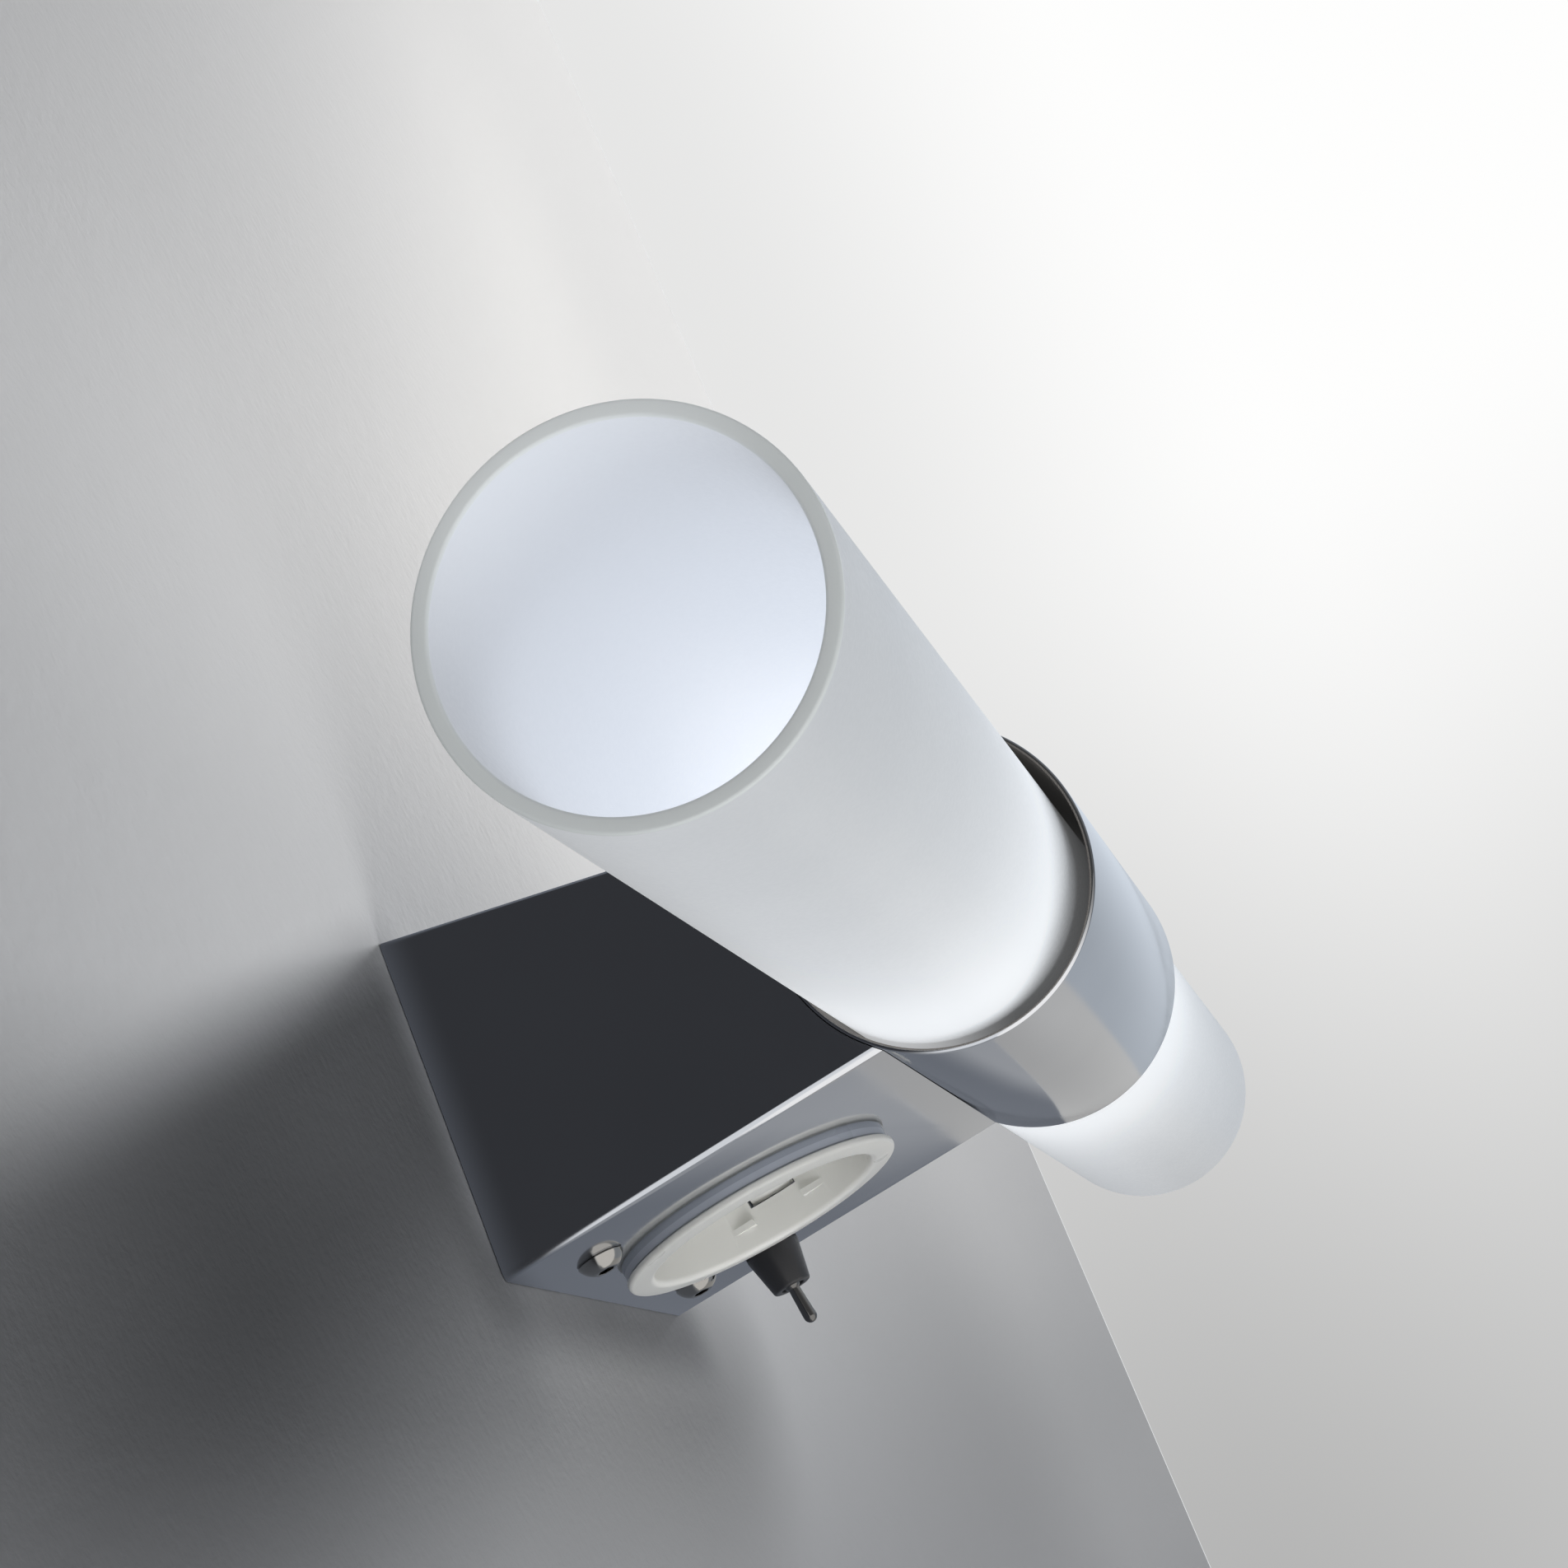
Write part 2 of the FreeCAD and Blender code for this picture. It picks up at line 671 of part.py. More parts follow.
def make_cover_screws():
    """Two button-head screws with hexagon sockets, which hold the housing to the plate."""
    def screw(side):
        place = on_underside(f"{side} * cover_screw_offset", "cover_screw_depth")
        corners = [
            ("cover_screw_length", "0"),
            ("cover_screw_length", "cover_screw_radius"),
            ("0", "cover_screw_radius"),
            ("0", "cover_screw_head_radius"),
            ("-cover_screw_head_height", "cover_screw_head_top_radius"),
            ("-cover_screw_head_height", "0"),
        ]
        body = turned("cover_screw", corners, "Z", place, {3: ("cover_screw_head_dome", -1)})
        key = hexagon("cover_screw_key", "cover_screw_key", "cover_screw_key_depth",
                      f"{place} * {shift('0', '0', '-cover_screw_head_height')}")
        return cut("cover_screw", body, [key])
    keep("cover_screws", group("cover_screws", mirrored(screw)))


# ---------------------------------------------------------------- lamps inside the tube

def make_lamp_carrier():
    """A bent steel strip: flat on the inner pad, with an upright at each end for a lampholder."""
    half_width = "carrier_width / 2"
    end = "carrier_half_length + carrier_thickness"
    flat = block("carrier_flat", (f"-({end})", end), ("-carrier_top", "-inner_pad_top"),
                 (f"-{half_width}", half_width))
    top = "-(glass_axis_depth + carrier_rise_past_axis)"
    def upright(side):
        across = ("carrier_half_length", end) if side > 0 else (f"-({end})", "-carrier_half_length")
        return block("carrier_upright", across, (top, "-inner_pad_top"), (f"-{half_width}", half_width))
    strip = fuse("carrier_blank", [flat] + mirrored(upright))
    tools = [stem_tool("carrier_hole", "stem_radius + stem_clearance")]
    tools += mirrored(lambda side: lamp_axis_rod(side, "wire_hole", "carrier_wire_hole", "0", end))
    tools += [rivet_tool(side, level) for side in (-1, 1) for level in (-1, 1)]
    keep("lamp_carrier", cut("lamp_carrier", strip, tools))


def lamp_place(side):
    """The tube's axis at its middle, with Z out towards the left (-1) or right (1) end."""
    return f"{shift('0', '-glass_axis_depth', '0')} * {turn('0; 1; 0', side * 90)}"


def lamp_axis_rod(side, name, radius, start, end):
    return rod(name, radius, f"({end}) - ({start})", f"{lamp_place(side)} * {shift('0', '0', start)}")


def rivet_tool(side, level):
    place = f"{lamp_place(side)} * {shift('0', f'{level} * rivet_offset', 'carrier_half_length')}"
    return rod("rivet_hole", "rivet_radius + thread_clearance", "carrier_thickness + rivet_depth", place)


def make_lampholder(side, end):
    """A ceramic holder: a round block with a well for the lamp's base and two pin holes."""
    start = "carrier_half_length + carrier_thickness"
    blank = lamp_axis_rod(side, "holder_blank", "holder_radius", start, "holder_face")
    well = lamp_axis_rod(side, "holder_well", "holder_bore_radius", "base_start - thread_clearance",
                         "holder_face")
    slots = [lamp_pin_rod(side, row, "holder_slot_radius", "base_start - holder_bore_depth", "base_start")
             for row in (-1, 1)]
    rivets = [rivet_tool(side, level) for level in (-1, 1)]
    keep(f"lampholder_{end}", cut("lampholder", blank, [well] + slots + rivets))


def lamp_pin_rod(side, row, radius, start, end):
    place = f"{lamp_place(side)} * {shift('0', f'{row} * lamp_pin_spacing / 2', start)}"
    return rod("lamp_pin", radius, f"({end}) - ({start})", place)


def make_lampholder_rivets():
    """Four rivets that hold the two lampholders to the carrier's uprights."""
    def rivet(side, level):
        place = f"{lamp_place(side)} * {shift('0', f'{level} * rivet_offset', 'carrier_half_length')}"
        corners = [
            ("carrier_thickness + rivet_depth", "0"),
            ("carrier_thickness + rivet_depth", "rivet_radius"),
            ("0", "rivet_radius"),
            ("0", "rivet_head_radius"),
            ("-rivet_head_height", "rivet_head_radius"),
            ("-rivet_head_height", "0"),
        ]
        return turned("rivet", corners, "Z", place)
    rivets = [rivet(side, level) for side in (-1, 1) for level in (-1, 1)]
    keep("lampholder_rivets", group("lampholder_rivets", rivets))


def make_lamp(side, end):
    """A capsule lamp: a pressed base, two pins, a glass capsule and a filament on its stem."""
    place = lamp_place(side)
    crown = "base_end + lamp_shoulder"
    base = lamp_axis_rod(side, "lamp_base_blank", "lamp_base_radius", "base_start", crown)
    tools = [lamp_pin_rod(side, row, "lamp_pin_radius", "base_start", "base_end") for row in (-1, 1)]
    tools.append(lamp_axis_rod(side, "filament_stem_hole", "filament_stem_radius", "base_end", crown))
    keep(f"lamp_base_{end}", cut("lamp_base", base, tools))
    pins = [lamp_pin_rod(side, row, "lamp_pin_radius", "base_start - lamp_pin_length", "base_end")
            for row in (-1, 1)]
    keep(f"lamp_pins_{end}", group("lamp_pins", pins))
    tip = "base_end + capsule_length"
    inner = "capsule_radius - capsule_wall"
    capsule = [
        ("base_end", "lamp_base_radius + pad_clearance"),
        (crown, "lamp_base_radius + pad_clearance"),
        (f"{crown} + lamp_shoulder", inner),
        (f"{tip} - capsule_radius", inner),
        (f"{tip} - capsule_wall", "0"),
        (tip, "0"),
        (f"{tip} - capsule_radius", "capsule_radius"),
        ("base_end", "capsule_radius"),
    ]
    rounds = {3: (inner, 1), 5: ("capsule_radius", -1)}
    keep(f"lamp_capsule_{end}", turned("lamp_capsule", capsule, "Z", place, rounds))
    start = "base_end + (capsule_length - filament_length) / 2"
    filament = [
        ("base_end", "0"),
        ("base_end", "filament_stem_radius"),
        (start, "filament_stem_radius"),
        (start, "filament_radius"),
        (f"{start} + filament_length", "filament_radius"),
        (f"{start} + filament_length", "0"),
    ]
    keep(f"lamp_filament_{end}", turned("lamp_filament", filament, "Z", place))


# ---------------------------------------------------------------- socket outlet

def ring_cut(name, radius, start, end, place):
    return rod(name, radius, f"({end}) - ({start})", f"{place} * {shift('0', '0', start)}")


def make_socket_face():
    """The white front: a rounded flange on the underside, a round recess with two guide ribs
    and two slots for the earth clips, and a floor with two pin holes."""
    place = on_underside("0", "socket_depth")
    corners = [
        ("cup_end", "0"),
        ("cup_end", "cup_radius"),
        ("0", "cup_radius"),
        ("0", "flange_radius"),
        ("-flange_edge_height + flange_round", "flange_radius"),
        ("-flange_edge_height", "flange_radius - flange_round"),
        ("-flange_height", "recess_radius + recess_lip_round"),
        ("-flange_height + recess_lip_round", "recess_radius"),
        ("recess_floor", "recess_radius"),
        ("recess_floor", "0"),
    ]
    rounds = {4: ("flange_round", -1), 6: ("recess_lip_round", -1)}
    cup = turned("socket_cup", corners, "Z", place, rounds)
    limit = ring_cut("guide_rib_limit", "recess_radius + cup_wall / 2", "guide_rib_setback",
                     "recess_floor + socket_floor / 2", place)
    ribs = common("guide_ribs", [limit, fuse("guide_rib_pair", mirrored(guide_rib))])
    body = fuse("socket_blank", [cup, ribs])
    keep("socket_face", cut("socket_face", body, socket_face_cutters(place)))


def guide_rib(side):
    """A rib on the recess wall that keys the plug: one towards the wall, one towards the front."""
    inner, outer = "recess_radius - guide_rib_height", "cup_radius"
    along = (inner, outer) if side > 0 else (f"-({outer})", f"-({inner})")
    return block("guide_rib", ("-guide_rib_width / 2", "guide_rib_width / 2"), along,
                 ("guide_rib_setback", "cup_end"), on_underside("0", "socket_depth"))


def socket_face_cutters(place):
    """Cutters for the pin holes, the earth clip slots and the centre screw."""
    def pin_hole(row):
        start = shift("0", f"{row} * pin_hole_spacing / 2", "recess_floor - socket_floor / 2")
        return rod("pin_hole", "pin_hole_radius", "2 * socket_floor", f"{place} * {start}")
    def slot(side):
        inner, outer = "recess_radius - clip_slot_depth", "recess_radius + clip_slot_depth"
        across = (inner, outer) if side > 0 else (f"-({outer})", f"-({inner})")
        return block("clip_slot", across, ("-clip_slot_width / 2", "clip_slot_width / 2"),
                     ("clip_slot_setback", "cup_end"), place)
    screw_hole = ring_cut("screw_hole", "socket_screw_radius + screw_hole_clearance", "recess_floor",
                          "cup_end", place)
    return mirrored(pin_hole) + mirrored(slot) + [screw_hole]


def make_socket_base():
    """The base behind the face: wells for the contacts and a groove for the earth strap."""
    place = on_underside("0", "socket_depth")
    blank = ring_cut("base_blank", "base_radius", "cup_end", "base_back", place)
    half_foot = "clip_slot_width / 2 + cup_wall"
    bar = block("base_bar", ("-(cup_radius)", "cup_radius"), (f"-({half_foot})", half_foot),
                ("cup_end", "cup_end + base_depth / 2"), place)
    limit = ring_cut("base_limit", "cup_radius", "cup_end", "base_back", place)
    body = fuse("base_body", [blank, common("base_feet", [bar, limit])])
    wells = [rod("contact_well", "contact_radius + contact_clearance", "contact_length + contact_clearance",
                 f"{place} * {shift('0', f'{row} * pin_hole_spacing / 2', 'cup_end')}") for row in (-1, 1)]
    groove = block("strap_groove", ("-(cup_radius)", "cup_radius"),
                   ("-clip_width / 2 - strap_groove_clearance", "clip_width / 2 + strap_groove_clearance"),
                   ("cup_end", "cup_end + clip_thickness + strap_groove_clearance"), place)
    screw = ring_cut("base_screw_hole", "socket_screw_radius + thread_clearance", "cup_end", "base_back",
                     place)
    keep("socket_base", cut("socket_base", body, wells + [groove, screw]))


def make_socket_contacts():
    """Two brass tubes behind the pin holes."""
    place = on_underside("0", "socket_depth")
    def contact(row):
        at = f"{place} * {shift('0', f'{row} * pin_hole_spacing / 2', '0')}"
        corners = [
            ("cup_end", "contact_bore_radius"),
            ("cup_end + contact_length", "contact_bore_radius"),
            ("cup_end + contact_length", "contact_radius"),
            ("cup_end", "contact_radius"),
        ]
        return turned("contact", corners, "Z", at)
    keep("socket_contacts", group("socket_contacts", mirrored(contact)))


def make_earth_strap():
    """One bent strip: it runs under the floor and stands up in both slots of the recess,
    where each end bows inwards to press on the plug."""
    place = on_underside("0", "socket_depth")
    outer = "recess_radius + clip_slot_depth - strap_groove_clearance"
    inner = f"{outer} - clip_thickness"
    top = "clip_slot_setback + strap_groove_clearance + clip_bulge"
    bow = "recess_radius - clip_bulge + clip_thickness"
    knee = f"({top} + recess_floor) / 2"
    lower = "cup_end + clip_thickness"
    right = [
        (outer, "recess_floor"),
        (f"{bow}", knee),
        (outer, top),
        (f"{inner}", top),
        (f"{bow} - clip_thickness", knee),
        (inner, "recess_floor"),
        (inner, "cup_end"),
    ]
    left = [(f"-({across})", up) for across, up in reversed(right)]
    corners = [(f"-({outer})", lower), (outer, lower)] + right + left
    body = padded("earth_strap", corners, "clip_width", place, "XZ_Plane")
    hole = ring_cut("strap_hole", "socket_screw_radius + screw_hole_clearance", "cup_end", lower, place)
    keep("earth_strap", cut("earth_strap", body, [hole]))


def make_socket_screw():
    """The screw at the middle of the recess, which draws the face and the base together."""
    corners = [
        ("base_back", "0"),
        ("base_back", "socket_screw_radius"),
        ("recess_floor", "socket_screw_radius"),
        ("recess_floor", "socket_screw_head_radius"),
        ("recess_floor - socket_screw_head_height", "socket_screw_head_radius"),
        ("recess_floor - socket_screw_head_height", "0"),
    ]
    place = on_underside("0", "socket_depth")
    body = turned("socket_screw", corners, "Z", place)
    top = "recess_floor - socket_screw_head_height"
    slot = block("socket_screw_slot", ("-socket_screw_head_radius", "socket_screw_head_radius"),
                 ("-socket_screw_slot_width / 2", "socket_screw_slot_width / 2"),
                 (top, f"{top} + socket_screw_slot_depth"), place)
    keep("socket_screw", cut("socket_screw", body, [slot]))


def make_socket_latches():
    """Two spring steel angles that grip the cup and bear on the inside of the housing."""
    place = on_underside("0", "socket_depth")
    start = "housing_wall + latch_clearance"
    inner = "cup_radius + latch_clearance"
    def latch(side):
        leg = (inner, f"{inner} + latch_thickness")
        foot = (inner, f"{inner} + latch_foot")
        if side < 0:
            leg, foot = [(f"-({pair[1]})", f"-({pair[0]})") for pair in (leg, foot)]
        width = ("-latch_width / 2", "latch_width / 2")
        return fuse("latch", [
            block("latch_leg", leg, width, (start, f"{start} + latch_length"), place),
            block("latch_foot", foot, width, (start, f"{start} + latch_thickness"), place)])
    keep("socket_latches", group("socket_latches", mirrored(latch)))


# ---------------------------------------------------------------- toggle switch

def switch_place():
    return on_underside("switch_offset", "switch_depth")


def lever_place(tilt):
    """The lever's pivot, turned about the line that the lever swings on."""
    return f"{switch_place()} * {shift('0', '0', '-lever_pivot_height')} * {turn('0; 1; 0', tilt)}"


def make_switch_frame():
    """The switch's metal top: a threaded bushing on a small plate."""
    place = switch_place()
    end = "-bushing_length"
    seat = "-bushing_length + bushing_seat_length"
    corners = [
        (end, "bushing_seat_radius"),
        (seat, "bushing_seat_radius"),
        (seat, "bushing_bore_radius"),
        ("switch_body_start", "bushing_bore_radius"),
        ("switch_body_start", "bushing_radius"),
        (end, "bushing_radius"),
    ]
    bushing = turned("bushing", corners, "Z", place)
    plate = block("switch_plate", ("-switch_body_length / 2", "switch_body_length / 2"),
                  ("-switch_body_width / 2", "switch_body_width / 2"),
                  ("switch_plate_start", "switch_body_start"), place)
    opening = ring_cut("switch_plate_hole", "bushing_bore_radius", "switch_plate_start",
                       "switch_body_start", place)
    frame = fuse("switch_frame", [bushing, cut("switch_plate", plate, [opening])])
    pin = rod("pin_bore", "pivot_pin_radius", "2 * bushing_radius",
              f"{lever_place('0')} * {TURN_Z_TO_Y} * {shift('0', '0', '-bushing_radius')}")
    keep("switch_frame", cut("switch_frame", frame, [pin]))


def make_switch_pin():
    """The pin through the bushing and the ball, on which the lever swings."""
    keep("switch_pin", rod("switch_pin", "pivot_pin_radius", "2 * bushing_radius",
                           f"{lever_place('0')} * {TURN_Z_TO_Y} * {shift('0', '0', '-bushing_radius')}"))


def make_switch_washer():
    corners = [
        ("housing_wall", "bushing_radius + thread_clearance"),
        ("switch_plate_start", "bushing_radius + thread_clearance"),
        ("switch_plate_start", "switch_washer_radius"),
        ("housing_wall", "switch_washer_radius"),
    ]
    keep("switch_washer", turned("switch_washer", corners, "Z", switch_place()))


def make_switch_cone():
    """The black cone outside: a nut on the bushing with a round mouth for the lever."""
    bore = "bushing_radius + cone_bore_clearance"
    corners = [
        ("0", bore),
        ("0", "cone_base_radius"),
        ("-cone_height + cone_edge", "cone_tip_radius"),
        ("-cone_height", "cone_tip_radius - cone_edge"),
        ("-cone_height", "cone_mouth_radius"),
        ("-bushing_length - thread_clearance", "cone_mouth_radius"),
        ("-bushing_length - thread_clearance", bore),
    ]
    keep("switch_cone", turned("switch_cone", corners, "Z", switch_place()))


def make_switch_lever():
    """The lever: a ball on the pin, a rod outside that thickens to a round tip, and a thin
    tail inside. At rest it leans to the right end of the light."""
    place = lever_place("-lever_tilt")
    corners = [
        ("-lever_reach", "0"),
        ("-(lever_reach - lever_tip_radius)", "lever_tip_radius"),
        ("-sqrt(lever_ball_radius ^ 2 - lever_root_radius ^ 2)", "lever_root_radius"),
        ("sqrt(lever_ball_radius ^ 2 - lever_tail_radius ^ 2)", "lever_tail_radius"),
        ("lever_tail_reach - lever_tail_radius", "lever_tail_radius"),
        ("lever_tail_reach", "0"),
    ]
    rounds = {0: ("lever_tip_radius", 1), 2: ("lever_ball_radius", 1), 4: ("lever_tail_radius", 1)}
    body = turned("lever_body", corners, "Z", place, rounds)
    bore = rod("lever_bore", "pivot_pin_radius + pivot_pin_clearance", "2 * lever_ball_radius",
               f"{place} * {TURN_Z_TO_Y} * {shift('0', '0', '-lever_ball_radius')}")
    keep("switch_lever", cut("switch_lever", body, [bore]))


def make_switch_body():
    """The black moulded case behind the housing's underside, open towards the bushing."""
    place = switch_place()
    wall = "switch_body_wall"
    case = block("switch_case", ("-switch_body_length / 2", "switch_body_length / 2"),
                 ("-switch_body_width / 2", "switch_body_width / 2"),
                 ("switch_body_start", "switch_body_end"), place)
    room = block("switch_room", (f"-switch_body_length / 2 + {wall}", f"switch_body_length / 2 - {wall}"),
                 (f"-switch_body_width / 2 + {wall}", f"switch_body_width / 2 - {wall}"),
                 ("switch_body_start", "switch_body_end - switch_floor"), place)
    keep("switch_body", cut("switch_body", case, [room] + [terminal(row) for row in (-1, 0, 1)]))


def terminal(row):
    """A terminal blade through the floor of the case. The middle one carries the rocker."""
    middle, half = f"{row} * terminal_spacing", "terminal_thickness / 2"
    start = "rocker_place + rocker_thickness / 2 + rocker_clearance"
    if row:
        start += " + rocker_half_length * sin(rocker_tilt)"
    return block("terminal", (f"{middle} - {half}", f"{middle} + {half}"),
                 ("-terminal_width / 2", "terminal_width / 2"),
                 (start, "switch_body_end + terminal_length"), switch_place())


def make_switch_terminals():
    keep("switch_terminals", group("switch_terminals", [terminal(row) for row in (-1, 0, 1)]))


def make_switch_rocker():
    """The moving contact, a strip that see-saws on the middle terminal."""
    place = f"{switch_place()} * {shift('0', '0', 'rocker_place')} * {turn('0; 1; 0', 'rocker_tilt')}"
    keep("switch_rocker", block("switch_rocker", ("-rocker_half_length", "rocker_half_length"),
                                ("-rocker_width / 2", "rocker_width / 2"),
                                ("-rocker_thickness / 2", "rocker_thickness / 2"), place))


# ---------------------------------------------------------------- supply terminals and earth

def pole_offset(pole):
    return f"block_offset + ({pole} - (block_poles - 1) / 2) * block_pole_pitch"


def make_terminal_block():
    """The moulded block on the plate, with a brass tube and a screw for each pole."""
    half = "block_length / 2"
    body = block("block_blank", (f"block_offset - {half}", f"block_offset + {half}"),
                 ("-block_floor", "-plate_thickness"),
                 ("block_rise - block_height / 2", "block_rise + block_height / 2"))
    poles = range(int(SIZES["block_poles"]))
    middle = "plate_thickness + block_depth / 2"
    def pole_rod(name, pole, radius, length):
        place = shift(pole_offset(pole), f"-({middle})", f"block_rise - ({length}) / 2")
        return rod(name, radius, length, place)
    def screw_rod(name, pole, radius, end):
        place = f"{shift(pole_offset(pole), f'-({end})', 'block_rise')} * {TURN_Z_TO_Y}"
        return rod(name, radius, f"({end}) - ({middle})", place)
    bores = [pole_rod("block_bore", pole, "block_bore_radius", "block_height") for pole in poles]
    thread = "block_screw_radius + thread_clearance"
    wells = [screw_rod("block_well", pole, thread, "block_floor") for pole in poles]
    keep("terminal_block", cut("terminal_block", body, bores + wells))
    sleeves = []
    for pole in poles:
        tube = pole_rod("sleeve_rod", pole, "block_sleeve_radius", "block_height - 2 * block_screw_recess")
        tools = [pole_rod("sleeve_bore", pole, "block_sleeve_bore_radius", "block_height"),
                 screw_rod("sleeve_thread", pole, thread, "block_floor")]
        sleeves.append(cut("terminal_sleeve", tube, tools))
    keep("terminal_sleeves", group("terminal_sleeves", sleeves))
    screws = [screw_rod("terminal_screw", pole, "block_screw_radius", "block_floor - block_screw_recess")
              for pole in poles]
    keep("terminal_screws", group("terminal_screws", screws))


def make_earth_fixing():
    """The earth screw in the plate and the cup washer under its head."""
    place = shift("earth_screw_offset", "0", "earth_screw_rise")
    seat = "-plate_thickness - earth_washer_thickness"
    screw = [
        ("0", "0"),
        ("0", "earth_screw_radius"),
        (seat, "earth_screw_radius"),
        (seat, "earth_head_radius"),
        (f"{seat} - earth_head_height", "earth_head_radius"),
        (f"{seat} - earth_head_height", "0"),
    ]
    keep("earth_screw", turned("earth_screw", screw, "Y", place))
    washer = [
        ("-plate_thickness", "earth_screw_radius + thread_clearance"),
        (seat, "earth_screw_radius + thread_clearance"),
        (seat, "earth_washer_radius"),
        ("-plate_thickness", "earth_washer_radius"),
    ]
    keep("earth_washer", turned("earth_washer", washer, "Y", place))


# ---------------------------------------------------------------- insulated leads

def rounded_path(points, radius):
    """Straight runs joined by tangent arcs of one radius."""
    edges = []
    start = points[0]
    for before, corner, after in zip(points, points[1:], points[2:]):
        back = (before - corner).normalize()
        ahead = (after - corner).normalize()
        half = back.getAngle(ahead) / 2
        reach = radius / math.tan(half)
        middle = corner + (back + ahead).normalize() * (radius / math.sin(half) - radius)
        first, last = corner + back * reach, corner + ahead * reach
        edges.append(Part.LineSegment(start, first).toShape())
        edges.append(Part.Arc(first, middle, last).toShape())
        start = last
    edges.append(Part.LineSegment(start, points[-1]).toShape())
    return Part.Wire(edges)


def lead(name, stops):
    """A round insulated lead swept along its path."""
    points = [FreeCAD.Vector(*[number(text) for text in stop]) for stop in stops]
    path = rounded_path(points, number("lead_bend"))
    run = points[1] - points[0]
    section = Part.Wire([Part.makeCircle(number("lead_radius"), points[0], run)])
    feature = DOC.addObject("Part::Feature", unique(name))
    feature.Shape = path.makePipeShell([section], True, True)
    keep(name, feature)


def make_lamp_leads():
    """A lead from the back of each lampholder, through the stem, up behind it and over into the
    top of the terminal block."""
    turn_depth = "stem_end - lead_bend"
    over = "block_top + lead_radius + lead_bend"
    for pole, (side, end) in enumerate(((-1, "left"), (1, "right"))):
        across = f"{side} * (lead_radius + lead_gap / 2)"
        stops = [
            (f"{side} * (carrier_half_length + carrier_thickness)", "-glass_axis_depth", "0"),
            (across, "-glass_axis_depth", "0"),
            (across, f"-({turn_depth})", "0"),
            (across, f"-({turn_depth})", "lead_climb"),
            (pole_offset(pole), "-(plate_thickness + block_depth / 2)", over),
            (pole_offset(pole), "-(plate_thickness + block_depth / 2)", "block_top - lead_entry"),
        ]
        lead(f"lamp_lead_{end}", stops)


# ---------------------------------------------------------------- build, check and export

def make_everything():
    make_wall_plate()
    make_cable_grommet()
    make_housing()
    make_cover_screws()
    make_sleeve()
    make_outer_pad()
    make_glass_tube()
    make_inner_pad()
    make_stem()
    make_lamp_carrier()
    make_lampholder_rivets()
    for side, end in ((-1, "left"), (1, "right")):
        make_lampholder(side, end)
        make_lamp(side, end)
    make_socket_face()
    make_socket_base()
    make_socket_contacts()
    make_earth_strap()
    make_socket_screw()
    make_socket_latches()
    make_switch_frame()
    make_switch_pin()
    make_switch_washer()
    make_switch_cone()
    make_switch_lever()
    make_switch_body()
    make_switch_terminals()
    make_switch_rocker()
    make_terminal_block()
    make_earth_fixing()
    make_lamp_leads()


def check_document():
    """Stops the build if any object failed or any sub-part's shape is empty or invalid."""
    faults = [f"{thing.Label}: {thing.State}" for thing in DOC.Objects
              if "Invalid" in thing.State or "Error" in thing.State]
    for name, thing in NODES.items():
        shape = thing.Shape
        if shape.isNull() or not shape.isValid() or shape.Volume <= 0:
            faults.append(f"{name}: bad shape")
    if faults:
        raise RuntimeError("; ".join(faults))


def export():
    os.makedirs("parts", exist_ok=True)
    for name, thing in NODES.items():
        thing.Shape.exportStep(f"parts/{name}.step")
        print(f"{name}: {len(thing.Shape.Solids)} solid(s), {thing.Shape.Volume:.1f} mm3")


SHEET = make_sheet()
make_everything()
DOC.recompute()
check_document()
export()
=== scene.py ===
import json
import math

import bmesh
import bpy
from mathutils import Matrix, Vector


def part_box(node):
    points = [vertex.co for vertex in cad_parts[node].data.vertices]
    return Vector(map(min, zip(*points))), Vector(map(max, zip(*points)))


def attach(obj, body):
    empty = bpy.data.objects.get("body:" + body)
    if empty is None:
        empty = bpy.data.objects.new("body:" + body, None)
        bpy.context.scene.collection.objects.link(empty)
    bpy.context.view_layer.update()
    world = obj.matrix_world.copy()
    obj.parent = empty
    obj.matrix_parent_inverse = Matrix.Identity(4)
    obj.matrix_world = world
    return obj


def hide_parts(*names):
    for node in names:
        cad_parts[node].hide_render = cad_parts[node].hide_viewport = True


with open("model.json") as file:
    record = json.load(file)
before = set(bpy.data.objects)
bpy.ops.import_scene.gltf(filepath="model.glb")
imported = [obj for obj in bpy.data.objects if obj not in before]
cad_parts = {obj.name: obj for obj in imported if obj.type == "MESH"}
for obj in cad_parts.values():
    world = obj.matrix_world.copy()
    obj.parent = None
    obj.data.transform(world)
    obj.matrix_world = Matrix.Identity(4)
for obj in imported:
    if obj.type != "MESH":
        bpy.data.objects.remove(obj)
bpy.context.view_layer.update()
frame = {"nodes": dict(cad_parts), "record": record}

# A wall light: a frosted glass tube in a polished sleeve, on a tapered polished box with a
# socket outlet, a toggle switch and two screws in its underside. Metres, with +X along the
# tube, the wall at Y = 0 and +Z up. Outlines are pairs of (along the axis, out from it).

MM = 0.001

# ---------------------------------------------------------------- places and sizes

TUBE_LOW, TUBE_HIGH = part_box("glass_tube")
TUBE_RADIUS = (TUBE_HIGH.z - TUBE_LOW.z) / 2
TUBE_AXIS = (TUBE_HIGH.y + TUBE_LOW.y) / 2
TUBE_END = TUBE_HIGH.x
TUBE_WALL = 1.9 * MM
TUBE_BORE = TUBE_RADIUS - TUBE_WALL

SLEEVE_LOW, SLEEVE_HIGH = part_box("sleeve")
SLEEVE_RADIUS = (SLEEVE_HIGH.z - SLEEVE_LOW.z) / 2
SLEEVE_AXIS = (SLEEVE_HIGH.y + SLEEVE_LOW.y) / 2
SLEEVE_END = SLEEVE_HIGH.x
SLEEVE_WALL = 0.8 * MM

